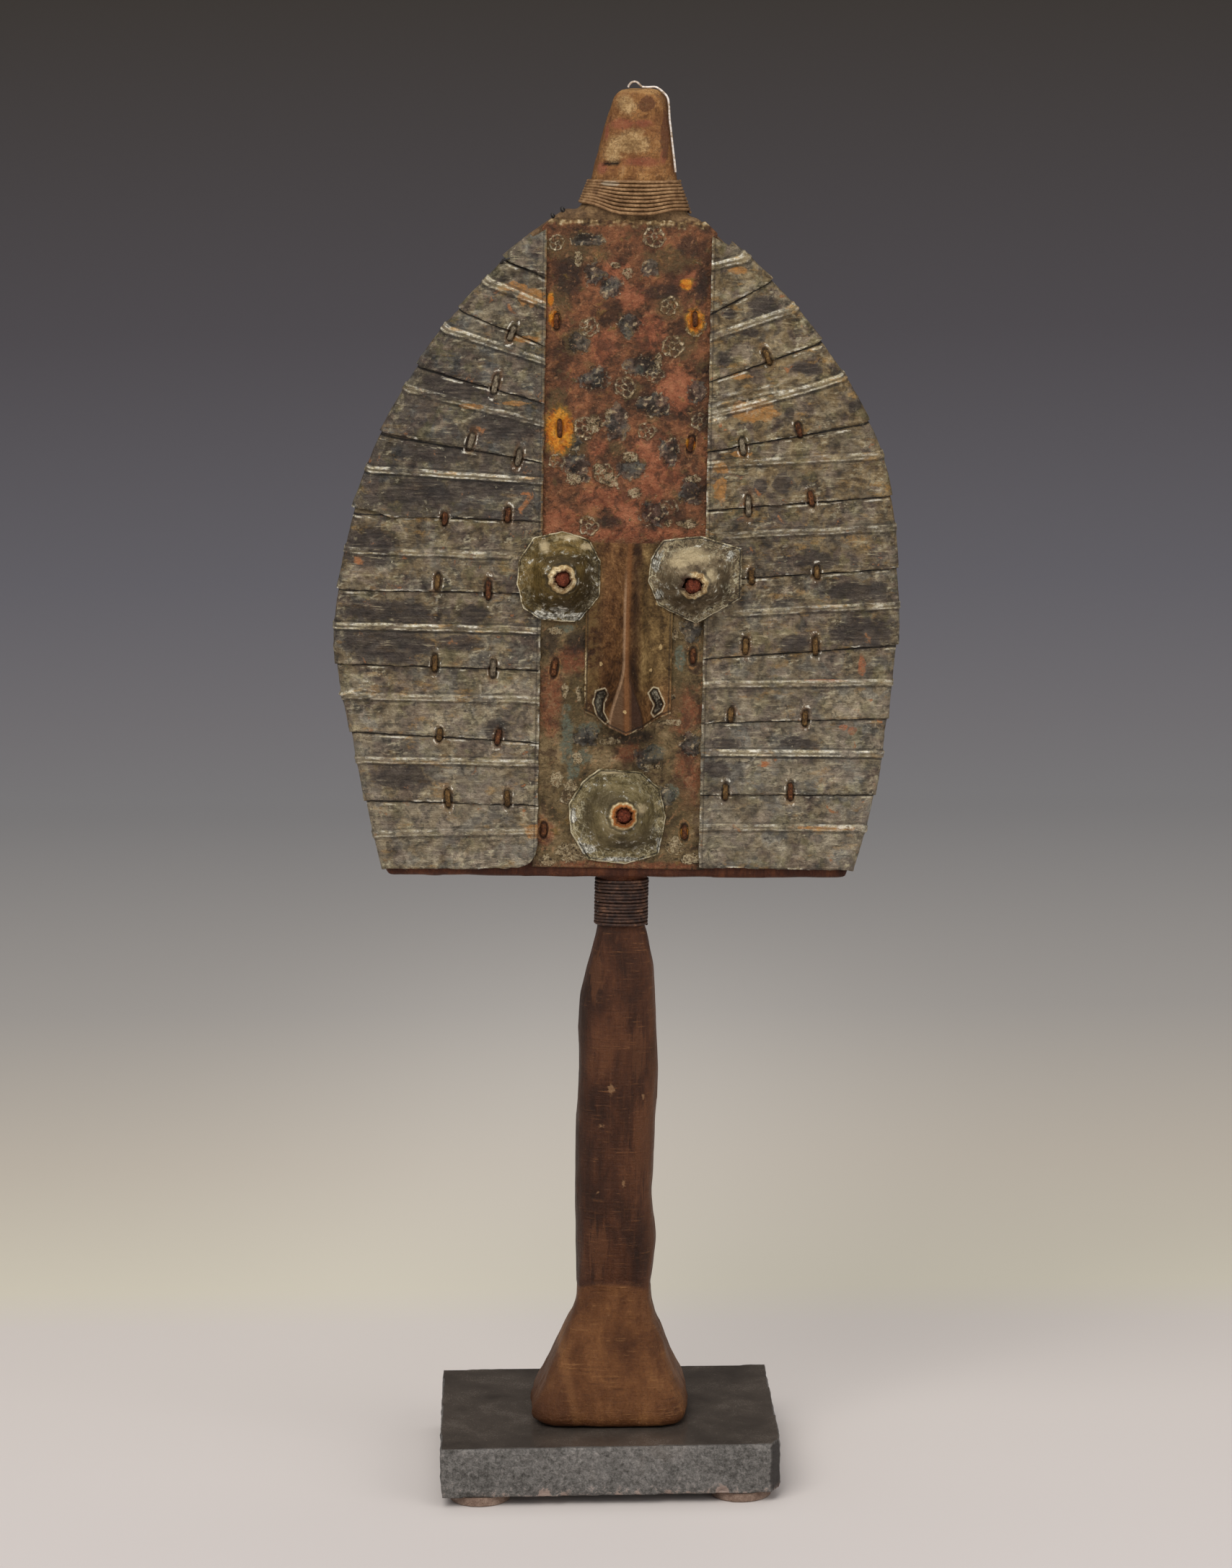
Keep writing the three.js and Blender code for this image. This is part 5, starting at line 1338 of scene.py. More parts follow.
# copper panel
panel = {
    "left": 34.8, "right": 32.9, "foot": 223.5, "top": 477.4, "thick": 0.6, "mesh": 0.72, "inside": 1,
    "torn": 0.9, "smallTorn": 0.8, "petals": 0.4, "petalsAt": 0.8, "boss": 0.35, "fleck": 0.5,
    "patches": {
        "stain": [
            (-17.5, 469.4, 6.2, 2.3), (-14.8, 456.5, 3.7, 4.2), (-8.2, 451.7, 4.2, 4.2),
            (-0.5, 437.1, 4.0, 4.0), (-14.1, 416.4, 5.8, 4.5), (4.7, 421.7, 6.6, 3.7),
            (10.0, 406.1, 6.6, 4.5), (-4.7, 399.3, 4.2, 7.0), (16.1, 388.9, 3.7, 5.8),
            (24.7, 372.6, 4.6, 4.8), (10.8, 364.0, 5.8, 4.5), (-17.1, 377.6, 2.5, 1.7),
            (7.3, 459.3, 3.7, 2.9), (26.3, 411.4, 3.6, 4.2), (-14.2, 276.1, 5.1, 3.9),
            (10.1, 267.9, 5.6, 4.7), (17.2, 252.3, 5.1, 4.3), (26.7, 273.4, 3.9, 5.1),
            (26.2, 318.4, 4.3, 5.1), (-20, 383, 6, 4), (1, 381, 6, 4), (-20, 430, 4, 4),
            (-22, 391, 4, 3),
        ],
        "olive": [
            (-20.9, 430.2, 5.2, 5.2), (2.2, 382.1, 5.0, 5.0), (14.9, 444.8, 5.8, 5.0),
            (20.2, 429.3, 5.8, 4.6), (-20.2, 389.1, 5.0, 5.0), (-27.0, 447.3, 4.2, 7.5),
            (-28.0, 407.9, 4.2, 5.0), (-4.5, 389.4, 3.3, 3.3), (-18, 250, 8, 14), (22, 247, 6, 12),
            (-19, 285, 6, 16), (20, 300, 5, 18), (14, 462, 10, 5), (-20, 466, 12, 6),
        ],
        "red": [
            (0.9, 447.8, 5.8, 5.0), (7.7, 434.8, 5.8, 7.5), (-10.2, 427.9, 5.0, 6.6),
            (7.1, 383.8, 7.5, 7.5), (-25.5, 360.0, 6.6, 5.8), (-0.7, 363.0, 5.0, 7.5),
            (17.1, 379.9, 5.0, 5.0), (22.1, 454.7, 5.0, 4.2), (-12.0, 389.3, 4.2, 2.9),
            (-5.8, 457.4, 5.0, 5.0), (18, 412, 7, 9), (6.6, 354.2, 25.7, 4.3),
            (-28.1, 289.8, 5.1, 13.7), (3.1, 269.5, 6.0, 4.3), (24.3, 286.4, 6.8, 10.3),
            (25.7, 260.3, 5.1, 13.7), (-1, 224.5, 34, 2.0), (-30.7, 237.5, 4.3, 6.0), (-20, 306, 7, 6),
            (10, 392, 8, 3), (-6, 370, 12, 4), (9, 372, 5, 12),
        ],
        "rust": [
            (-26.8, 395.6, 5.2, 8.0), (24.9, 439.2, 3.4, 4.4), (24.3, 391.6, 1.8, 2.4),
            (-29.6, 439.0, 2.0, 3.2), (21.3, 453.1, 2.4, 2.0), (-31.0, 446.4, 1.2, 2.6),
            (25.1, 238.5, 1.5, 2.2),
        ],
        "teal": [
            (-21.9, 276.0, 2.4, 12), (-19.5, 263.0, 2.6, 6), (6.9, 343.0, 2.6, 4.3),
            (-23.5, 318.4, 3.4, 1.7), (-13, 279, 5, 3), (12, 270, 4, 3), (-15, 268, 3, 3),
            (20, 254, 3, 4), (22, 308, 2, 5), (-1, 434, 1.6, 2.6), (4, 420, 1.6, 1.6),
        ],
        "dark": [
            (27.1, 452.3, 2.5, 7.5), (-28.9, 313.1, 3.9, 5.1), (-18.2, 313.3, 4.3, 4.3),
            (1.3, 275.0, 7.2, 2.2), (-7.3, 360.4, 4.2, 2.5), (21.8, 467.7, 4.2, 4.0),
            (8.2, 276.6, 4.3, 2.6), (-17.5, 470.4, 3.5, 1.2), (-17.1, 377.8, 1.8, 1.2),
            (24.7, 372.6, 2.6, 3.0), (-24, 455, 5, 8), (12, 450, 8, 3),
        ],
        "fleck": [
            (-23.1, 293.8, 1.4, 2.7), (-17.6, 293.0, 1.0, 3.1), (-25.5, 258.5, 2.6, 3.2),
            (-17.5, 267.2, 1.9, 2.2), (-5.5, 274.1, 4.3, 1.5), (19.2, 282.0, 5.1, 1.2),
            (-19.4, 229.8, 5.6, 3.8), (11.8, 264.4, 3.8, 1.2), (-19.8, 256.0, 2.6, 2.8),
            (19.8, 316.6, 1.6, 3.0), (19.4, 292.0, 1.4, 1.2), (21.1, 233.0, 3.6, 3.2),
            (8.5, 348.2, 1.3, 3.0), (-20.5, 462.3, 1.6, 3.0), (-7, 377, 3.8, 3.4), (-11, 381, 3.0, 2.2),
            (1, 386, 3, 2), (24, 360.5, 4.5, 1.6), (-27, 317.5, 3.5, 1.4), (-13, 399, 3, 3),
            (3, 372, 3, 2), (-1.5, 457, 2, 2), (-8, 403, 1.4, 2.2), (11, 424, 1.6, 2.6),
            (26, 378, 3, 1.6), (16, 361, 2, 2), (-21, 377, 3, 2.4), (-28, 226, 4, 2.2), (28, 228, 4, 2),
            (-6, 460, 2, 1.4),
        ],
    },
    # rosettes: centre, radius, how much of it shows
    "rosettes": [
        (8.7, 471.1, 4.3, 1.0), (-16.1, 436.0, 3.9, 0.7), (-1.7, 413.3, 4.3, 0.9),
        (16.5, 429.3, 4.3, 1.0), (9.9, 418.2, 3.6, 0.6), (-17.1, 397.0, 4.3, 0.9),
        (7.2, 396.6, 3.6, 0.6), (14.9, 444.8, 3.7, 0.7), (-28.9, 468.4, 2.9, 0.7),
        (-14.7, 359.0, 3.8, 0.8), (25.3, 437.2, 4.0, 0.7), (-9.3, 379.4, 3.9, 0.7),
        (16.5, 366.6, 3.5, 0.5), (-20.5, 252.0, 3.6, 0.5), (27.5, 400.5, 3.2, 0.5),
        (-27.5, 384, 3.2, 0.5),
    ],
}


def rosetteAt(x, z):
    # place within the nearest rosette as shares of its radius, and how much of it shows
    rx, rz, radius, shown = min(
        panel["rosettes"], key=lambda rose: math.hypot(x - rose[0], z - rose[1]) / rose[2])
    across, along = (x - rx) / radius, (z - rz) / radius
    return across, along, shown * smooth(math.hypot(across, along), 1.4, 1.0)


def panelPlace(u, v):
    tornTop = panel["torn"] * wave(u * 70, 0, 6, 1.0) + panel["smallTorn"] * wave(u * 70, 0, 2.4, 2.0)
    top = panel["top"] + tornTop * smooth(v, 0.1, 0.08)
    z = between(top, panel["foot"], v)
    share = (z - board["foot"]) / board["height"]
    left, right = [
        min(panel[side], leafReach(wings[side]["side"], share) - panel["inside"])
        for side in ("left", "right")
    ]
    x = between(-left, right, u)
    paint = {name: patchAt(x, z, patches) for name, patches in panel["patches"].items()}
    roseX, roseZ, rose = rosetteAt(x, z)
    far = math.hypot(roseX, roseZ)
    dent, deep = stapleDent(x, z)
    off = fit + panel["thick"] + max(0.7 * hammered(x, z) + 0.8 * crumpled(x, z, 2.0), -0.25) - 0.8 * deep
    off += rose * (panel["petals"] * hump(far - panel["petalsAt"], 0.2) + panel["boss"] * hump(far, 0.28))
    off += panel["fleck"] * smooth(paint["fleck"], 0.2, 0.6) * (0.4 + wave(x, z, 1.6, 5.0))
    off += smooth(paint["stain"], 0.25, 0.45) * (0.25 * wave(x, z, 1.8, 6.0) - 0.1)
    paint.update({
        "low": smooth(z, 366, 342),
        "roseX": roseX, "roseZ": roseZ, "rose": rose,
        "dent": dent,
        "hem": v * (top - panel["foot"]),
    })
    return Vector((x, faceAt(x) - off, z)), paint


panelSize = panel["left"] + panel["right"], panel["top"] - panel["foot"]
sheet = makeSheet(*[round(size / panel["mesh"]) for size in panelSize], panelPlace)
addPiece(sheet, "copperPanel", ["copper_panel"], "copper", panel["thick"])
print("panel set")

# nose plate
nose = {
    "top": 352.5, "length": 73.8, "cornerRise": 7, "left": 16.5, "right": 17.5, "thick": 0.8, "lean": 1.2,
    "ridgeTop": 1.6, "ridge": 12.5, "crest": 0.75, "tip": 6.5, "foldTop": 6.5, "fold": 13.5, "tipPeak": 1.7,
    "sway": 0.6, "least": 0.5, "rim": 0.5, "sunk": 0.45, "columns": 92, "rows": 170,
    "nostrils": [
        [
            (-7.2, 296.1), (-11.0, 294.3), (-12.0, 289.5), (-10.4, 284.8), (-7.0, 282.3), (-5.6, 284),
            (-7.6, 287), (-7.4, 290.4), (-5.9, 293.9),
        ],
        [
            (11.6, 296.4), (9.6, 294.4), (10.8, 291.6), (12.0, 289.5), (10.9, 286.6), (12.2, 284.6),
            (15.2, 286.5), (16.4, 289.6), (14.8, 293), (13.6, 295.8),
        ],
    ],
    "flecks": [
        (-9, 305, 0.7, 0.9), (10.6, 303, 0.6, 0.8), (0.6, 288, 0.8, 0.8), (14.2, 312, 0.7, 1.2),
        (12.5, 329, 0.7, 0.7),
    ],
}


def nostrilAt(x, z):
    # distance to the nearest nostril's edge, more than 0 inside it
    edges = []
    for loop in nose["nostrils"]:
        away = lineAway(x, z, loop + loop[:1])[0]
        edges.append(away if insideLoop(x, z, loop) else -away)
    return min(edges, key=abs)


def nosePlace(u, v):
    side = -1 if u < 0.5 else 1
    part = abs(u - 0.5) * 2
    flat = nose["left"] if side < 0 else nose["right"]
    offset = part * flat
    # the ridge rises and widens to the tip
    crest = between(nose["crest"], nose["tip"], smooth(v, 0.62, 1))
    fold = between(nose["foldTop"], nose["fold"], smooth(v, 0, 1))
    slope = min(max((fold - offset) / (fold - crest), 0), 1)
    high = between(nose["ridgeTop"], nose["ridge"], smooth(v, 0, 1)) * slope ** 1.4
    if offset < crest:
        high += nose["tipPeak"] * (1 - offset / crest) * smooth(v, 0.6, 0.85)
    hem = between(nose["length"], nose["length"] - nose["cornerRise"], part)
    x = nose["lean"] - nose["sway"] * math.sin(v * math.pi) * (1 - part) + side * offset
    z = nose["top"] - v * hem
    high += nose["thick"] + 0.35 * wave(x, z, 8, 4.0) * part + 0.15 * wave(x, z, 3, 5.0)
    nostril = nostrilAt(x, z)
    off = 2 * fit + panel["thick"] + max(high, nose["least"])
    off += nose["rim"] * hump(nostril - 0.1, 0.45) - nose["sunk"] * smooth(nostril, 0.5, 1.0)
    return Vector((x, faceAt(x) - off, z)), {
        "side": side * offset,
        "down": v,
        "crest": crest,
        "edge": (1 - part) * flat,
        "hem": (1 - v) * hem,
        "nostril": nostril,
        "fleck": smooth(patchAt(x, z, nose["flecks"]), 0.2, 0.45),
    }


sheet = makeSheet(nose["columns"], nose["rows"], nosePlace)
addPiece(sheet, "nosePlate", ["nose_plate"], "nose", nose["thick"])
print("nose folded")

# eyes and mouth: hammered sheets cut to a rough octagon
# each cone's cream patches are painted highlights on its dome
cones = {
    "leftEye": {
        "node": "left_eye", "x": -25.8, "z": 339.3, "high": 12, "across": 1.4, "up": 0, "silver": 0.0,
        "rust": 0.0,
        "rim": [
            (-36.4, 354.2), (-25.0, 356.8), (-14.2, 353.8), (-9.8, 345.3), (-10.0, 331.5),
            (-18.4, 321.2), (-32.9, 322.0), (-39.8, 326.4), (-42.4, 336.1), (-41.6, 345.5),
        ],
        "patches": {
            "residue": [(-31, 323.8, 8, 1.6), (-19, 323.5, 4, 1.8), (-26, 326.5, 5, 1.0)],
            # the first two darken the left eye's right and lower right slope as painted shade
            "stain": [(-19, 328.5, 9, 4), (-14, 337, 3.5, 9), (-25, 346, 9, 2)],
            "cream": [(-31.9, 350.9, 2.0, 2.2), (-15, 351, 2.4, 1.2), (-22, 354.5, 4, 1)],
        },
    },
    "rightEye": {
        "node": "right_eye", "x": 27.5, "z": 338.9, "high": 12, "across": -1.3, "up": -1.6, "silver": 1.0,
        "rust": 0.0,
        "rim": [
            (14.3, 354.3), (29.2, 356.0), (45.4, 351.5), (45.2, 331.9), (27.8, 321.6), (12.9, 328.4),
            (8.9, 337.9), (9.6, 346.8),
        ],
        "patches": {
            "residue": [(12, 345, 1.6, 3), (13, 333, 1.6, 2.4), (41, 349, 2, 1.4)],
            "stain": [(19, 338.5, 3.5, 3), (24, 332, 7, 2.0), (34, 343, 3, 1.6), (39, 336, 2, 6)],
            "cream": [(26, 348.5, 7, 2.6), (33, 341, 2.4, 3), (20, 346, 4, 2)],
        },
    },
    "mouth": {
        "node": "mouth", "x": -1.6, "z": 244.7, "high": 12.5, "across": 2.6, "up": 1.8, "silver": 0.3,
        "rust": 1.0,
        "rim": [
            (-8.8, 263.4), (7.6, 262.4), (15.0, 255.8), (17.6, 244.5), (15.1, 229.4), (2.3, 225.4),
            (-13.0, 226.8), (-19.9, 237.7), (-20.8, 249.0), (-15.4, 258.3),
        ],
        "patches": {
            "residue": [
                (-15, 231, 4, 2), (0, 227.4, 9, 0.9), (-19, 243, 1, 5), (12, 259, 2, 1),
                (15, 234, 1, 3),
            ],
            "stain": [(11, 236, 5, 6), (-6, 252, 8, 4), (-13, 246, 3, 6), (4, 234, 8, 2)],
            "cream": [(8, 249, 2, 2), (-4, 262, 5, 0.7)],
        },
    },
}
coneSheet = {
    "thick": 0.7, "hole": 3.5, "rings": 46, "around": 150, "lip": 1.4, "lipHigh": 0.7, "torn": 0.9,
    "beat": 0.4, "smallBeat": 0.22, "overSeam": 0.9,
}
coneProfile = [
    (0, 1.0), (0.12, 0.93), (0.25, 0.81), (0.36, 0.68), (0.5, 0.48), (0.62, 0.28), (0.71, 0.14),
    (0.78, 0.08), (0.9, 0.06), (1, 0.05),
]


def rimReach(cone, turn):
    # straight cut edges between the rim's corners
    middle = Vector((cone["x"], cone["z"]))
    ray = Vector((math.cos(turn), math.sin(turn)))
    corners = [Vector(corner) - middle for corner in cone["rim"]]
    best = 10
    for start, end in zip(corners, corners[1:] + corners[:1]):
        edge = end - start
        cross = ray.x * edge.y - ray.y * edge.x
        if abs(cross) > 1e-6:
            far = (start.x * edge.y - start.y * edge.x) / cross
            part = (start.x * ray.y - start.y * ray.x) / cross
            if far > 0 and -0.001 <= part <= 1.001:
                best = far
    return best


def coneSeat(cone, x):
    # over the panel, or over the nose plate and the strips
    if cone["node"] == "mouth":
        return 2 * fit + panel["thick"]
    edge = wings["left" if x < 0 else "right"]["edge"]
    overStrip = smooth(abs(x), edge - 4, edge - 1)
    under = between(nose["thick"], strips["thick"] + coneSheet["overSeam"], overStrip)
    return 3 * fit + panel["thick"] + under


def makeCone(name):
    cone = cones[name]
    isRight = name == "rightEye"

    def place(u, share):
        turn = 2 * math.pi * u
        ray = Vector((math.cos(turn), math.sin(turn)))
        loop = Vector((ray.x * 3, ray.y * 3, cone["x"]))
        # the hole is torn, and wider to the left in the right eye
        hole = coneSheet["hole"] + coneSheet["torn"] * noise.noise(loop)
        hole += 0.9 * max(math.cos(turn - 2.6), 0) ** 2 * isRight
        away = between(hole, rimReach(cone, turn) + 0.3 * noise.noise(loop * 2), share)
        x = cone["x"] + cone["across"] * (1 - share) + ray.x * away
        z = cone["z"] + cone["up"] * (1 - share) + ray.y * away
        seat = between(coneSeat(cone, cone["x"]), coneSeat(cone, x), smooth(share, 0.6, 0.8))
        beat = coneSheet["beat"] * wave(x, z, 6.5, 6.0) + coneSheet["smallBeat"] * wave(x, z, 2.5, 7.0)
        lip = coneSheet["lipHigh"] * max(1 - (away - hole) / coneSheet["lip"], 0)
        crumple = 0.5 * crumpled(x, z, 5.0) + 0.3 * wave(x, z, 1.8, 9.0)
        high = rowAt(coneProfile, share)[1] * cone["high"]
        high += beat * smooth(share, 0.05, 0.3) * smooth(share, 1, 0.9)
        high += lip * (0.5 + 0.7 * noise.noise(loop * 1.7)) + crumple * smooth(share, 0.68, 0.8)
        high -= 0.3 * hump(away - hole - 2.2, 0.7)
        paint = {layer: patchAt(x, z, patches) for layer, patches in cone["patches"].items()}
        side = math.cos(turn - 2.7)
        paint.update({
            "silver": cone["silver"],
            "share": share,
            "rayX": ray.x, "rayZ": ray.y,
            "fromHole": away - hole,
            "ring": smooth(side, 0.8, 0.3) if isRight else 1,
            "rust": cone["rust"],
            # painted shade in the widened hole beside the nail
            "gap": 0.85 * smooth(away - hole, 2.2, 0.5) * smooth(side, 0.55, 0.9) * isRight,
        })
        return Vector((x, faceAt(cone["x"]) - seat - high, z)), paint

    sheet = makeSheet(coneSheet["around"], coneSheet["rings"], place)
    bmesh.ops.remove_doubles(sheet, verts=sheet.verts, dist=0.02)
    addPiece(sheet, f"{name}Sheet", [f"{cone['node']}_cone"], "cone", coneSheet["thick"])


for name in cones:
    makeCone(name)
print("eyes and mouth raised")

# nails
nail = {
    "head": 3.15, "thick": 1.6, "shank": 1.3, "below": 0.7, "depth": 9, "point": 3, "around": 28,
    "bent": 0.3, "rough": 0.16,
    # the head's rounding: share of its radius, how far down in shares of its thickness
    "rounding": [(0.93, 1), (1, 0.8), (0.95, 0.45), (0.75, 0.125), (0.4, -0.0625)],
}


def makeNail(name):
    cone = cones[name]
    top = coneSeat(cone, cone["x"]) + cone["high"] - nail["below"]
    outline = [
        (0.01, -nail["depth"]), (nail["shank"], nail["point"] - nail["depth"]),
        (nail["shank"], top - nail["thick"]),
    ]
    outline += [(nail["head"] * share, top - nail["thick"] * down) for share, down in nail["rounding"]]
    outline.append((0.01, top + nail["thick"] / 8))
    shape = bmesh.new()
    corners = [shape.verts.new((radius, -high, 0)) for radius, high in outline]
    edges = [shape.edges.new(pair) for pair in zip(corners, corners[1:])]
    bmesh.ops.spin(
        shape, geom=corners + edges, cent=(0, 0, 0), axis=(0, 1, 0), angle=2 * math.pi,
        steps=nail["around"], use_merge=True, use_duplicate=False)
    bmesh.ops.remove_doubles(shape, verts=shape.verts, dist=0.03)
    bmesh.ops.subdivide_edges(shape, edges=shape.edges, cuts=2, use_grid_fill=True)
    red = newLayers(shape, "red")["red"]
    for vert in shape.verts:
        vert[red] = 1
        coarse = noise.noise_vector(vert.co * 0.55 + Vector((cone["x"], 0, 0)))
        vert.co += coarse * nail["bent"] + noise.noise_vector(vert.co * 1.7) * nail["rough"]
    spot = Vector((cone["x"] + cone["across"], faceAt(cone["x"]), cone["z"] + cone["up"]))
    bmesh.ops.translate(shape, vec=spot, verts=shape.verts)
    addPiece(shape, f"{name}Nail", [f"{cone['node']}_nail"], "iron")


for name in cones:
    makeNail(name)
print("nails driven")


def joinTo(shape, made):
    # adds one small shape to another and returns the vertices that are new
    piece = meshOf(made, "smallPart")
    before = len(shape.verts)
    shape.from_mesh(piece)
    bpy.data.meshes.remove(piece)
    shape.verts.ensure_lookup_table()
    return shape.verts[before:]


def makeStaples():
    shape = bmesh.new()
    paints = newLayers(shape, "silver", "golden", "ends")
    for number, (x, z, tilt, long) in enumerate(allStaples):
        half = staples["half"] * long
        seat = staples["panelSeat" if (x, z) in staples["panel"] else "wingSeat"]
        wobble = 0.5 * noise.noise(Vector((number * 2.1, 7, 0)))
        arc = []
        for step in range(staples["steps"] + 1):
            part = step / staples["steps"] * 2 - 1
            rise = staples["proud"] - staples["curl"] * abs(part) ** 5
            arc.append((wobble * (1 - part * part), staples["wire"] - rise, part * half))
        made = wireAlong(arc, staples["wire"], 2)
        for vert in made.verts:
            vert.co += noise.noise_vector(vert.co * 0.9 + Vector((number, 0, 0))) * 0.22
        # painted shade where the wire's ends go into their holes
        ends = [smooth(abs(vert.co.z) / half, 0.72, 0.98) for vert in made.verts]
        turn = Matrix.Translation((x, faceAt(x) - seat, z)) @ Matrix.Rotation(-tilt, 4, "Y")
        bmesh.ops.transform(made, matrix=turn, verts=made.verts)
        for vert, end in zip(joinTo(shape, made), ends):
            vert[paints["ends"]] = end
            for kind in ("silver", "golden"):
                vert[paints[kind]] = float((x, z) in staples[kind])
    addPiece(shape, "wireStaples", [], "iron")


makeStaples()

# two tack heads on the left shoulder and a small hook lower down the edge
tacks = {
    # x, z, radius
    "heads": [(-26.8, 480.5, 1.7), (-30.6, 478.2, 1.5)],
    "front": -8.6, "tilt": 62, "flat": 0.55, "wire": 0.55,
    "hook": [
        (-50.5, -7, 458.8), (-50.6, -10.5, 459.6), (-49.6, -12.2, 461.2), (-47.4, -12.5, 461.8),
        (-45.6, -12.2, 461.4),
    ],
}


def makeTacks():
    shape = bmesh.new()
    turn = Matrix.Rotation(math.radians(tacks["tilt"]), 4, "Y") @ Matrix.Diagonal((1, 1, tacks["flat"], 1))
    for x, z, size in tacks["heads"]:
        spot = Matrix.Translation((x, tacks["front"], z)) @ turn
        bmesh.ops.create_uvsphere(shape, u_segments=16, v_segments=10, radius=size, matrix=spot)
    joinTo(shape, wireAlong(tacks["hook"], tacks["wire"], 2))
    addPiece(shape, "shoulderTacks", [], "black")


makeTacks()
print("staples and tacks in")

# wire windings, laid round what is carved there
knot = {
    "height": 46.4, "width": 42, "depth": 24, "set": -0.5, "square": 3,
    # share of the height, then of the half width to the left and to the right, and of the depth
    "carving": [
        (0.01, 0.98, 1.01, 1), (0.23, 0.795, 0.83, 0.9), (0.6, 0.605, 0.725, 0.72),
        (0.935, 0.39, 0.615, 0.55), (1, 0.27, 0.465, 0.42),
    ],
}
neck = {"at": 0.8, "half": 9.4, "depth": 7.9, "square": 2.4, "below": 0.95}
winding = {
    "knotWire": 1.22, "knotTurns": 9, "knotStart": 1, "knotLength": 10.4, "tilt": 1.5, "sag": 3.2,
    "neckWire": 1.2, "neckTurns": 14, "neckLength": 18.6, "around": 56, "gap": 0.2, "loose": 0.16,
    "pale": [(-8.6, 491.2, 3.6, 1.0)],
}


def ringPoint(left, right, front, back, square, turn, grow):
    def along(low, high, share):
        reach = math.copysign(abs(share) ** (2 / square), share)
        return (low + high) / 2 + ((high - low) / 2 + grow) * reach

    return along(left, right, math.cos(turn)), along(front, back, math.sin(turn))


def knotRing(height, turn, grow):
    _, left, right, deep = rowAt(knot["carving"], (height - boardTop) / knot["height"])
    half, halfDeep = knot["width"] / 2, deep * knot["depth"] / 2
    front, back = knot["set"] - halfDeep, knot["set"] + halfDeep
    return ringPoint(-left * half, right * half, front, back, knot["square"], turn, grow)


def neckRing(height, turn, grow):
    left, right = neck["at"] - neck["half"], neck["at"] + neck["half"]
    return ringPoint(left, right, -neck["depth"], neck["depth"], neck["square"], turn, grow)


def knotHeightFor(share, turn):
    front = max(-math.sin(turn), 0) ** 10
    shifted = winding["sag"] * front + winding["tilt"] * math.cos(turn)
    return boardTop + winding["knotStart"] + share * winding["knotLength"] - (1 - share) * shifted


def neckHeightFor(share, turn):
    top = board["foot"] - neck["below"] - fit - winding["neckWire"] / 2
    return top - (1 - share) * winding["neckLength"] + 0.12 * math.sin(turn * 0.7)


def wind(name, node, turns, wire, heightFor, ringFor):
    steps = turns * winding["around"]
    points = []
    for step in range(steps + 1):
        turn = 2 * math.pi * step / winding["around"]
        height = heightFor(step / steps, turn)
        x, y = ringFor(height, turn, winding["gap"] + wire / 2)
        loose = winding["loose"] * noise.noise(Vector((step * 0.05, 2, len(name))))
        points.append((x + loose * math.cos(turn), y + loose * math.sin(turn), height + 0.7 * loose))
    shape = wireAlong(points, wire / 2)
    pale = newLayers(shape, "pale")["pale"]
    for vert in shape.verts:
        vert[pale] = patchAt(vert.co.x, vert.co.z, winding["pale"]) if vert.co.y < 0 else 0
    addPiece(shape, name, [node], "winding")


wind("knotWinding", "topknot_winding", winding["knotTurns"], winding["knotWire"], knotHeightFor, knotRing)
wind("neckWinding", "neck_winding", winding["neckTurns"], winding["neckWire"], neckHeightFor, neckRing)

# thin pale wire: a loop on the knot's top, then down its right side
hanging = {
    "wire": 0.4, "turn": -0.45, "grow": 0.55, "smooth": 6,
    # the loop's points, with their heights above the knot's top
    "loop": [
        (-2.5, -2, 0.5), (-2.2, -2.1, 1.4), (-1.4, -2.3, 2.3), (-0.2, -2.4, 2.7), (1.0, -2.5, 2.4),
        (1.9, -2.5, 1.6), (2.8, -2.5, 0.85), (5.0, -2.5, 0.7), (8.2, -2.8, 0.75),
    ],
    "drops": (0.9, 3.2, 7, 11, 17, 23, 28, 31.5),
}


def makeHangingWire():
    top = boardTop + knot["height"]
    stops = [Vector((x, y, top + up)) for x, y, up in hanging["loop"]]
    for drop in hanging["drops"]:
        x, y = knotRing(top - drop, hanging["turn"], hanging["grow"])
        stops.append(Vector((x + 0.15 * math.sin(drop), y, top - drop)))
    points = []
    for before, start, end, after in zip(stops[:1] + stops, stops, stops[1:], stops[2:] + stops[-1:]):
        for part in range(hanging["smooth"]):
            t = part / hanging["smooth"]
            points.append(0.5 * (
                2 * start + (end - before) * t + (2 * before - 5 * start + 4 * end - after) * t ** 2
                + (3 * start - before - 3 * end + after) * t ** 3))
    points.append(stops[-1])
    addPiece(wireAlong(points, hanging["wire"]), "hangingWire", ["hanging_wire"], "pale")


makeHangingWire()
print("wires wound")

# stone slab and pads
slab = {
    "skin": 1.0, "sawn": 0.4, "smallSawn": 0.35, "underside": 0.4, "lowChips": 1.3, "highChips": 0.6,
    "lowBand": 2.2, "highBand": 0.9, "corner": 1.4, "cornerSize": 5,
}
pads = {"round": 0.5, "worn": 0.25, "segments": 64}


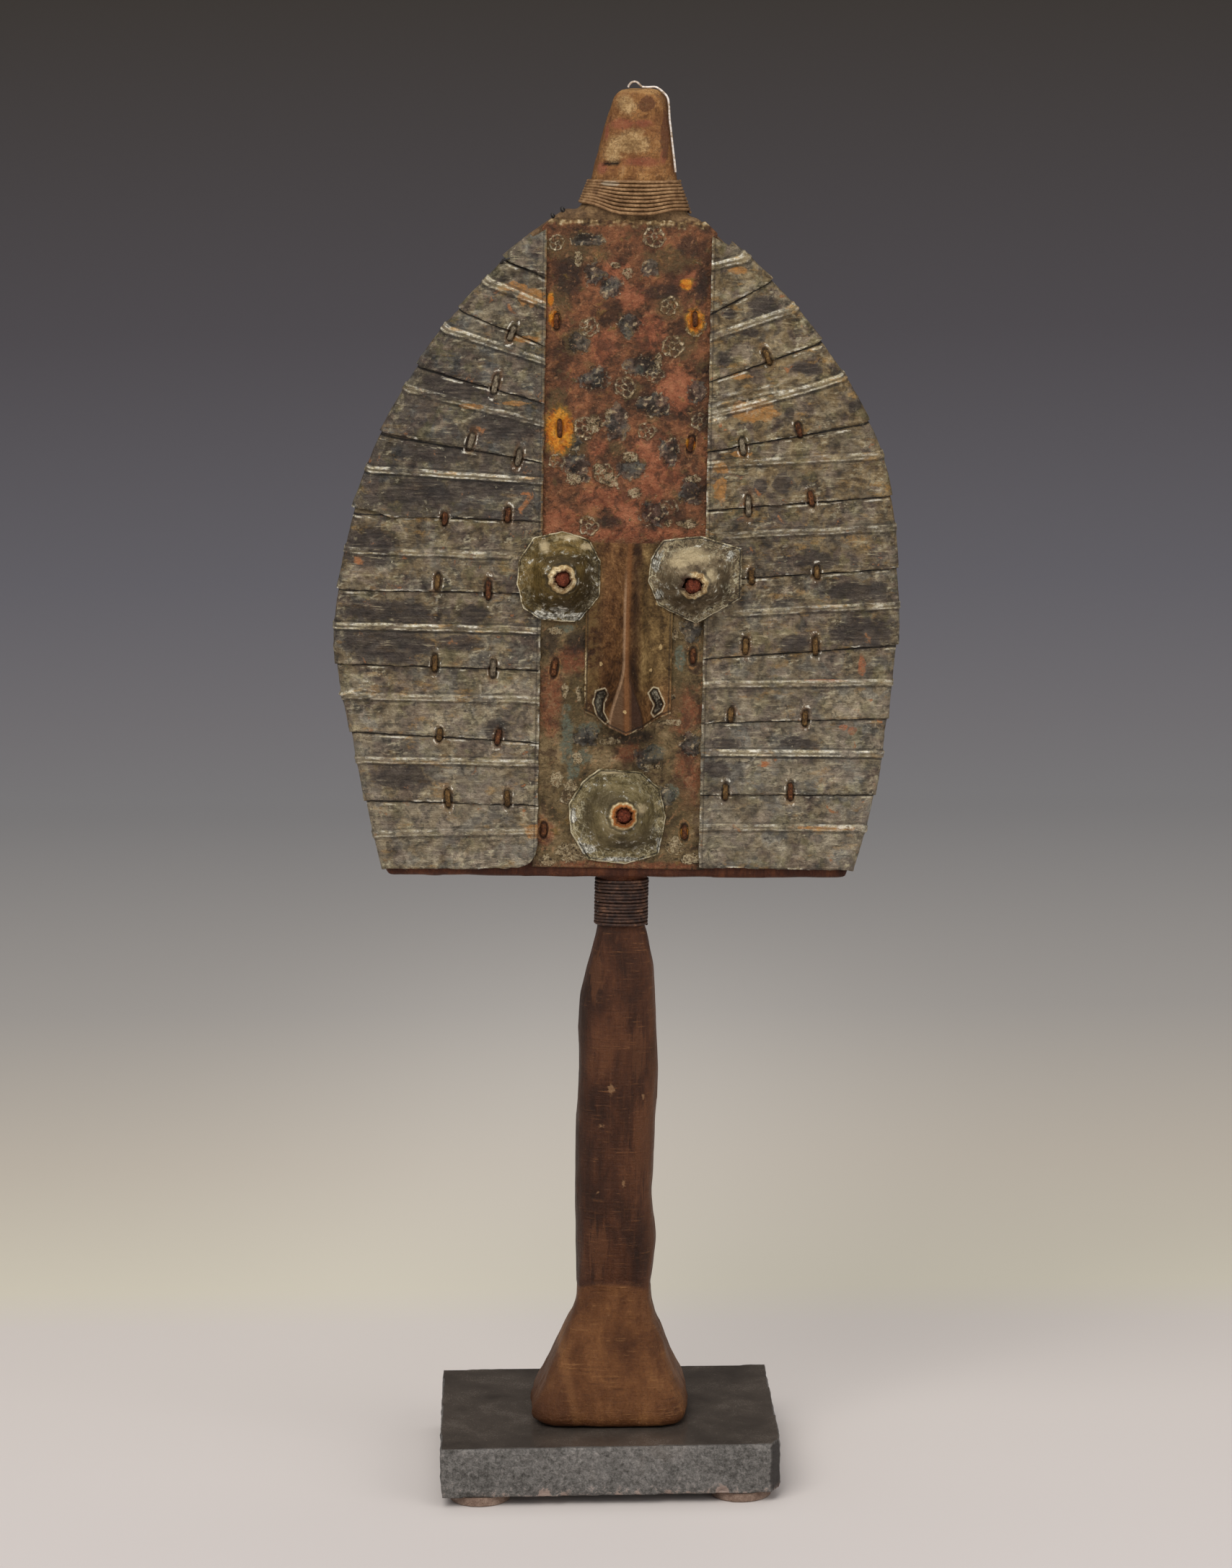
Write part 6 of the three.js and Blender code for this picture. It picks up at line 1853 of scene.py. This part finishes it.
def makeSlab():
    low, high = [corner * 1000 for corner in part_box("stone_slab")]
    stone = remeshed("stone_slab", slab["skin"])
    bmesh.ops.transform(stone, matrix=toMetres.inverted(), verts=stone.verts)
    stone.normal_update()
    paints = newLayers(stone, "rough", "pink", "dark")
    moves = []
    for vert in stone.verts:
        x, y, z = vert.co
        normal = vert.normal.copy()
        side = smooth(normal.z, 0.9, 0.55)
        front = smooth(-normal.y, 0.4, 0.8)
        move = slab["sawn"] * wave(x, z, 5, y / 9) + slab["smallSawn"] * wave(x, z, 1.8, y / 4)
        move *= side * (slab["underside"] if normal.z < -0.5 else 1.0)
        # chips along the lower and upper front edges
        lowEdge = 3.2 * hump(z - low.z, slab["lowBand"]) * max(wave(x, 0, 7, 4.0) - 0.1, 0)
        highEdge = hump(z - high.z, slab["highBand"]) * max(wave(x, 0, 3.5, 6.0), 0)
        move -= (slab["lowChips"] * lowEdge + slab["highChips"] * highEdge) * front
        size = slab["cornerSize"]
        corner = hump(math.hypot(x - high.x + size, z - low.z - size), size) * front
        move -= slab["corner"] * corner * (0.6 + 0.6 * wave(x, z, 2.5, 1.0))
        vert[paints["rough"]] = side
        vert[paints["pink"]] = min(1, 0.2 + lowEdge) * side * hump(z - low.z, 6)
        # the slab's right side is painted darker as shade
        vert[paints["dark"]] = 0.9 * smooth(normal.x - normal.y, 1.1, 1.35) * smooth(normal.x, 0.6, 0.8)
        moves.append((vert, normal * move))
    for vert, move in moves:
        vert.co += move
    addPiece(stone, "stoneSlab", ["stone_slab"], "stone", matrix=toMetres)


def makePad(node):
    low, high = [corner * 1000 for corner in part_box(node)]
    shape = bmesh.new()
    radius, thick = (high.x - low.x) / 2, high.z - low.z
    bmesh.ops.create_cone(
        shape, cap_ends=True, segments=pads["segments"], radius1=radius, radius2=radius, depth=thick)
    rims = [edge for edge in shape.edges if abs(edge.verts[0].co.z - edge.verts[1].co.z) < 0.01]
    bmesh.ops.bevel(
        shape, geom=rims, offset=pads["round"], offset_type="OFFSET", segments=3, profile=0.5,
        affect="EDGES", material=-1)
    for vert in shape.verts:
        out = Vector((vert.co.x, vert.co.y, 0))
        if out.length > radius - 1:
            vert.co += out.normalized() * pads["worn"] * noise.noise(vert.co * 0.9)
    middle = (low + high) / 2
    bmesh.ops.translate(shape, vec=(middle.x, middle.y, thick / 2), verts=shape.verts)
    name = "pad" + node.removeprefix("pad_").title().replace("_", "")
    addPiece(shape, name, [node], "pad", matrix=toMetres)


makeSlab()
for node in ("pad_front_left", "pad_front_right", "pad_back_left", "pad_back_right"):
    makePad(node)
print("slab and pads set")

# floor, backdrop, lights and camera
studio = {
    "sweepStart": 1.6, "sweepRadius": 1.0, "wallTop": 2.2, "halfWidth": 4.0, "front": -3.2, "below": 0.0001,
    "columns": 160, "rows": 200,
    # tones by the way along the floor and up the wall, darkening up the wall as painted shade
    "stops": [
        (-0.3, (208, 201, 199)), (0.2, (206, 198, 192)), (0.26, (208, 201, 184)),
        (0.5, (195, 186, 173)), (0.87, (171, 166, 161)), (1.65, (150, 148, 149)),
        (1.85, (136, 133, 136)), (2.1, (115, 113, 119)), (2.43, (90, 86, 90)), (2.8, (69, 64, 60)),
    ],
    # a soft pool of light behind the shaft: x, way, half width, half height
    "pool": (-0.02, 0.62, 0.16, 0.5), "poolTone": (244, 238, 230), "poolStrength": 0.24,
    "air": (0.86, 0.88, 0.92, 1), "airStrength": 0.45,
}


def backdropLook():
    look = Look("paleBackdrop", placed=False)
    way = look.painted("way")
    stops = studio["stops"]
    color = tone(*stops[0][1])
    for (low, _), (high, shade) in zip(stops, stops[1:]):
        part = look.node("ShaderNodeMapRange", values={"Value": way, "From Min": low, "From Max": high})
        color = look.mix(part, color, tone(*shade))
    color = look.cover(color, (look.painted("pool") * studio["poolStrength"], studio["poolTone"]))
    return look.finish(color, 0.9, shine=0.2)


def makeBackdrop():
    start, radius = studio["sweepStart"], studio["sweepRadius"]
    arc = radius * math.pi / 2
    total = start - studio["front"] + arc + studio["wallTop"]
    middle, height, wide, tall = studio["pool"]

    def place(u, v):
        way = studio["front"] + (1 - v) * total
        turn = min(max(way - start, 0) / radius, math.pi / 2)
        y = min(way, start) + radius * math.sin(turn)
        z = radius * (1 - math.cos(turn)) + max(way - start - arc, 0) - studio["below"]
        x = (u * 2 - 1) * studio["halfWidth"]
        return Vector((x, y, z)), {"way": way, "pool": hump(x - middle, wide) * hump(way - height, tall)}

    sheet = makeSheet(studio["columns"], studio["rows"], place)
    bmesh.ops.recalc_face_normals(sheet, faces=sheet.faces)
    dressed(sheet, "backdrop", backdropLook())


makeBackdrop()

lamps = {
    "keyLamp": {"at": (-0.85, -1.7, 2.3), "size": 1.8, "power": 51, "aim": (0, 0, 0.3)},
    "fillLamp": {"at": (1.8, -1.7, 1.2), "size": 1.8, "power": 19, "aim": (0, 0, 0.3)},
    "topLamp": {"at": (0.1, 0.3, 2.2), "size": 1.6, "power": 12, "aim": (0, 0.1, 0.2)},
}
for name, lamp in lamps.items():
    light = bpy.data.lights.new(name, "AREA")
    light.energy = lamp["power"]
    light.size = lamp["size"]
    light.color = (1.0, 0.97, 0.93)
    holder = linked(name, light)
    holder.location = lamp["at"]
    toward = Vector(lamp["aim"]) - Vector(lamp["at"])
    holder.rotation_euler = toward.to_track_quat("-Z", "Y").to_euler()
world = bpy.data.worlds.new("studioAir")
world.use_nodes = True
air = world.node_tree.nodes["Background"].inputs
air["Color"].default_value = studio["air"]
air["Strength"].default_value = studio["airStrength"]
bpy.context.scene.world = world

view = {
    "at": (-0.0008, -1.700, 0.557), "pitch": 9.27, "roll": 0.54, "lens": 99.8, "sensor": 36, "near": 0.05,
}
lens = bpy.data.cameras.new("camera")
lens.lens = view["lens"]
lens.sensor_width = view["sensor"]
lens.sensor_fit = "AUTO"
lens.clip_start = view["near"]
camera = linked("camera", lens)
# level and looking along +Y, then pitched down and rolled about its own line of sight
level, down = math.radians(90 - view["pitch"]), math.radians(view["roll"])
camera.matrix_world = (
    Matrix.Translation(view["at"]) @ Matrix.Rotation(level, 4, "X") @ Matrix.Rotation(-down, 4, "Z"))
bpy.context.scene.camera = camera
bpy.context.scene.view_settings.view_transform = "Standard"
print("studio ready")
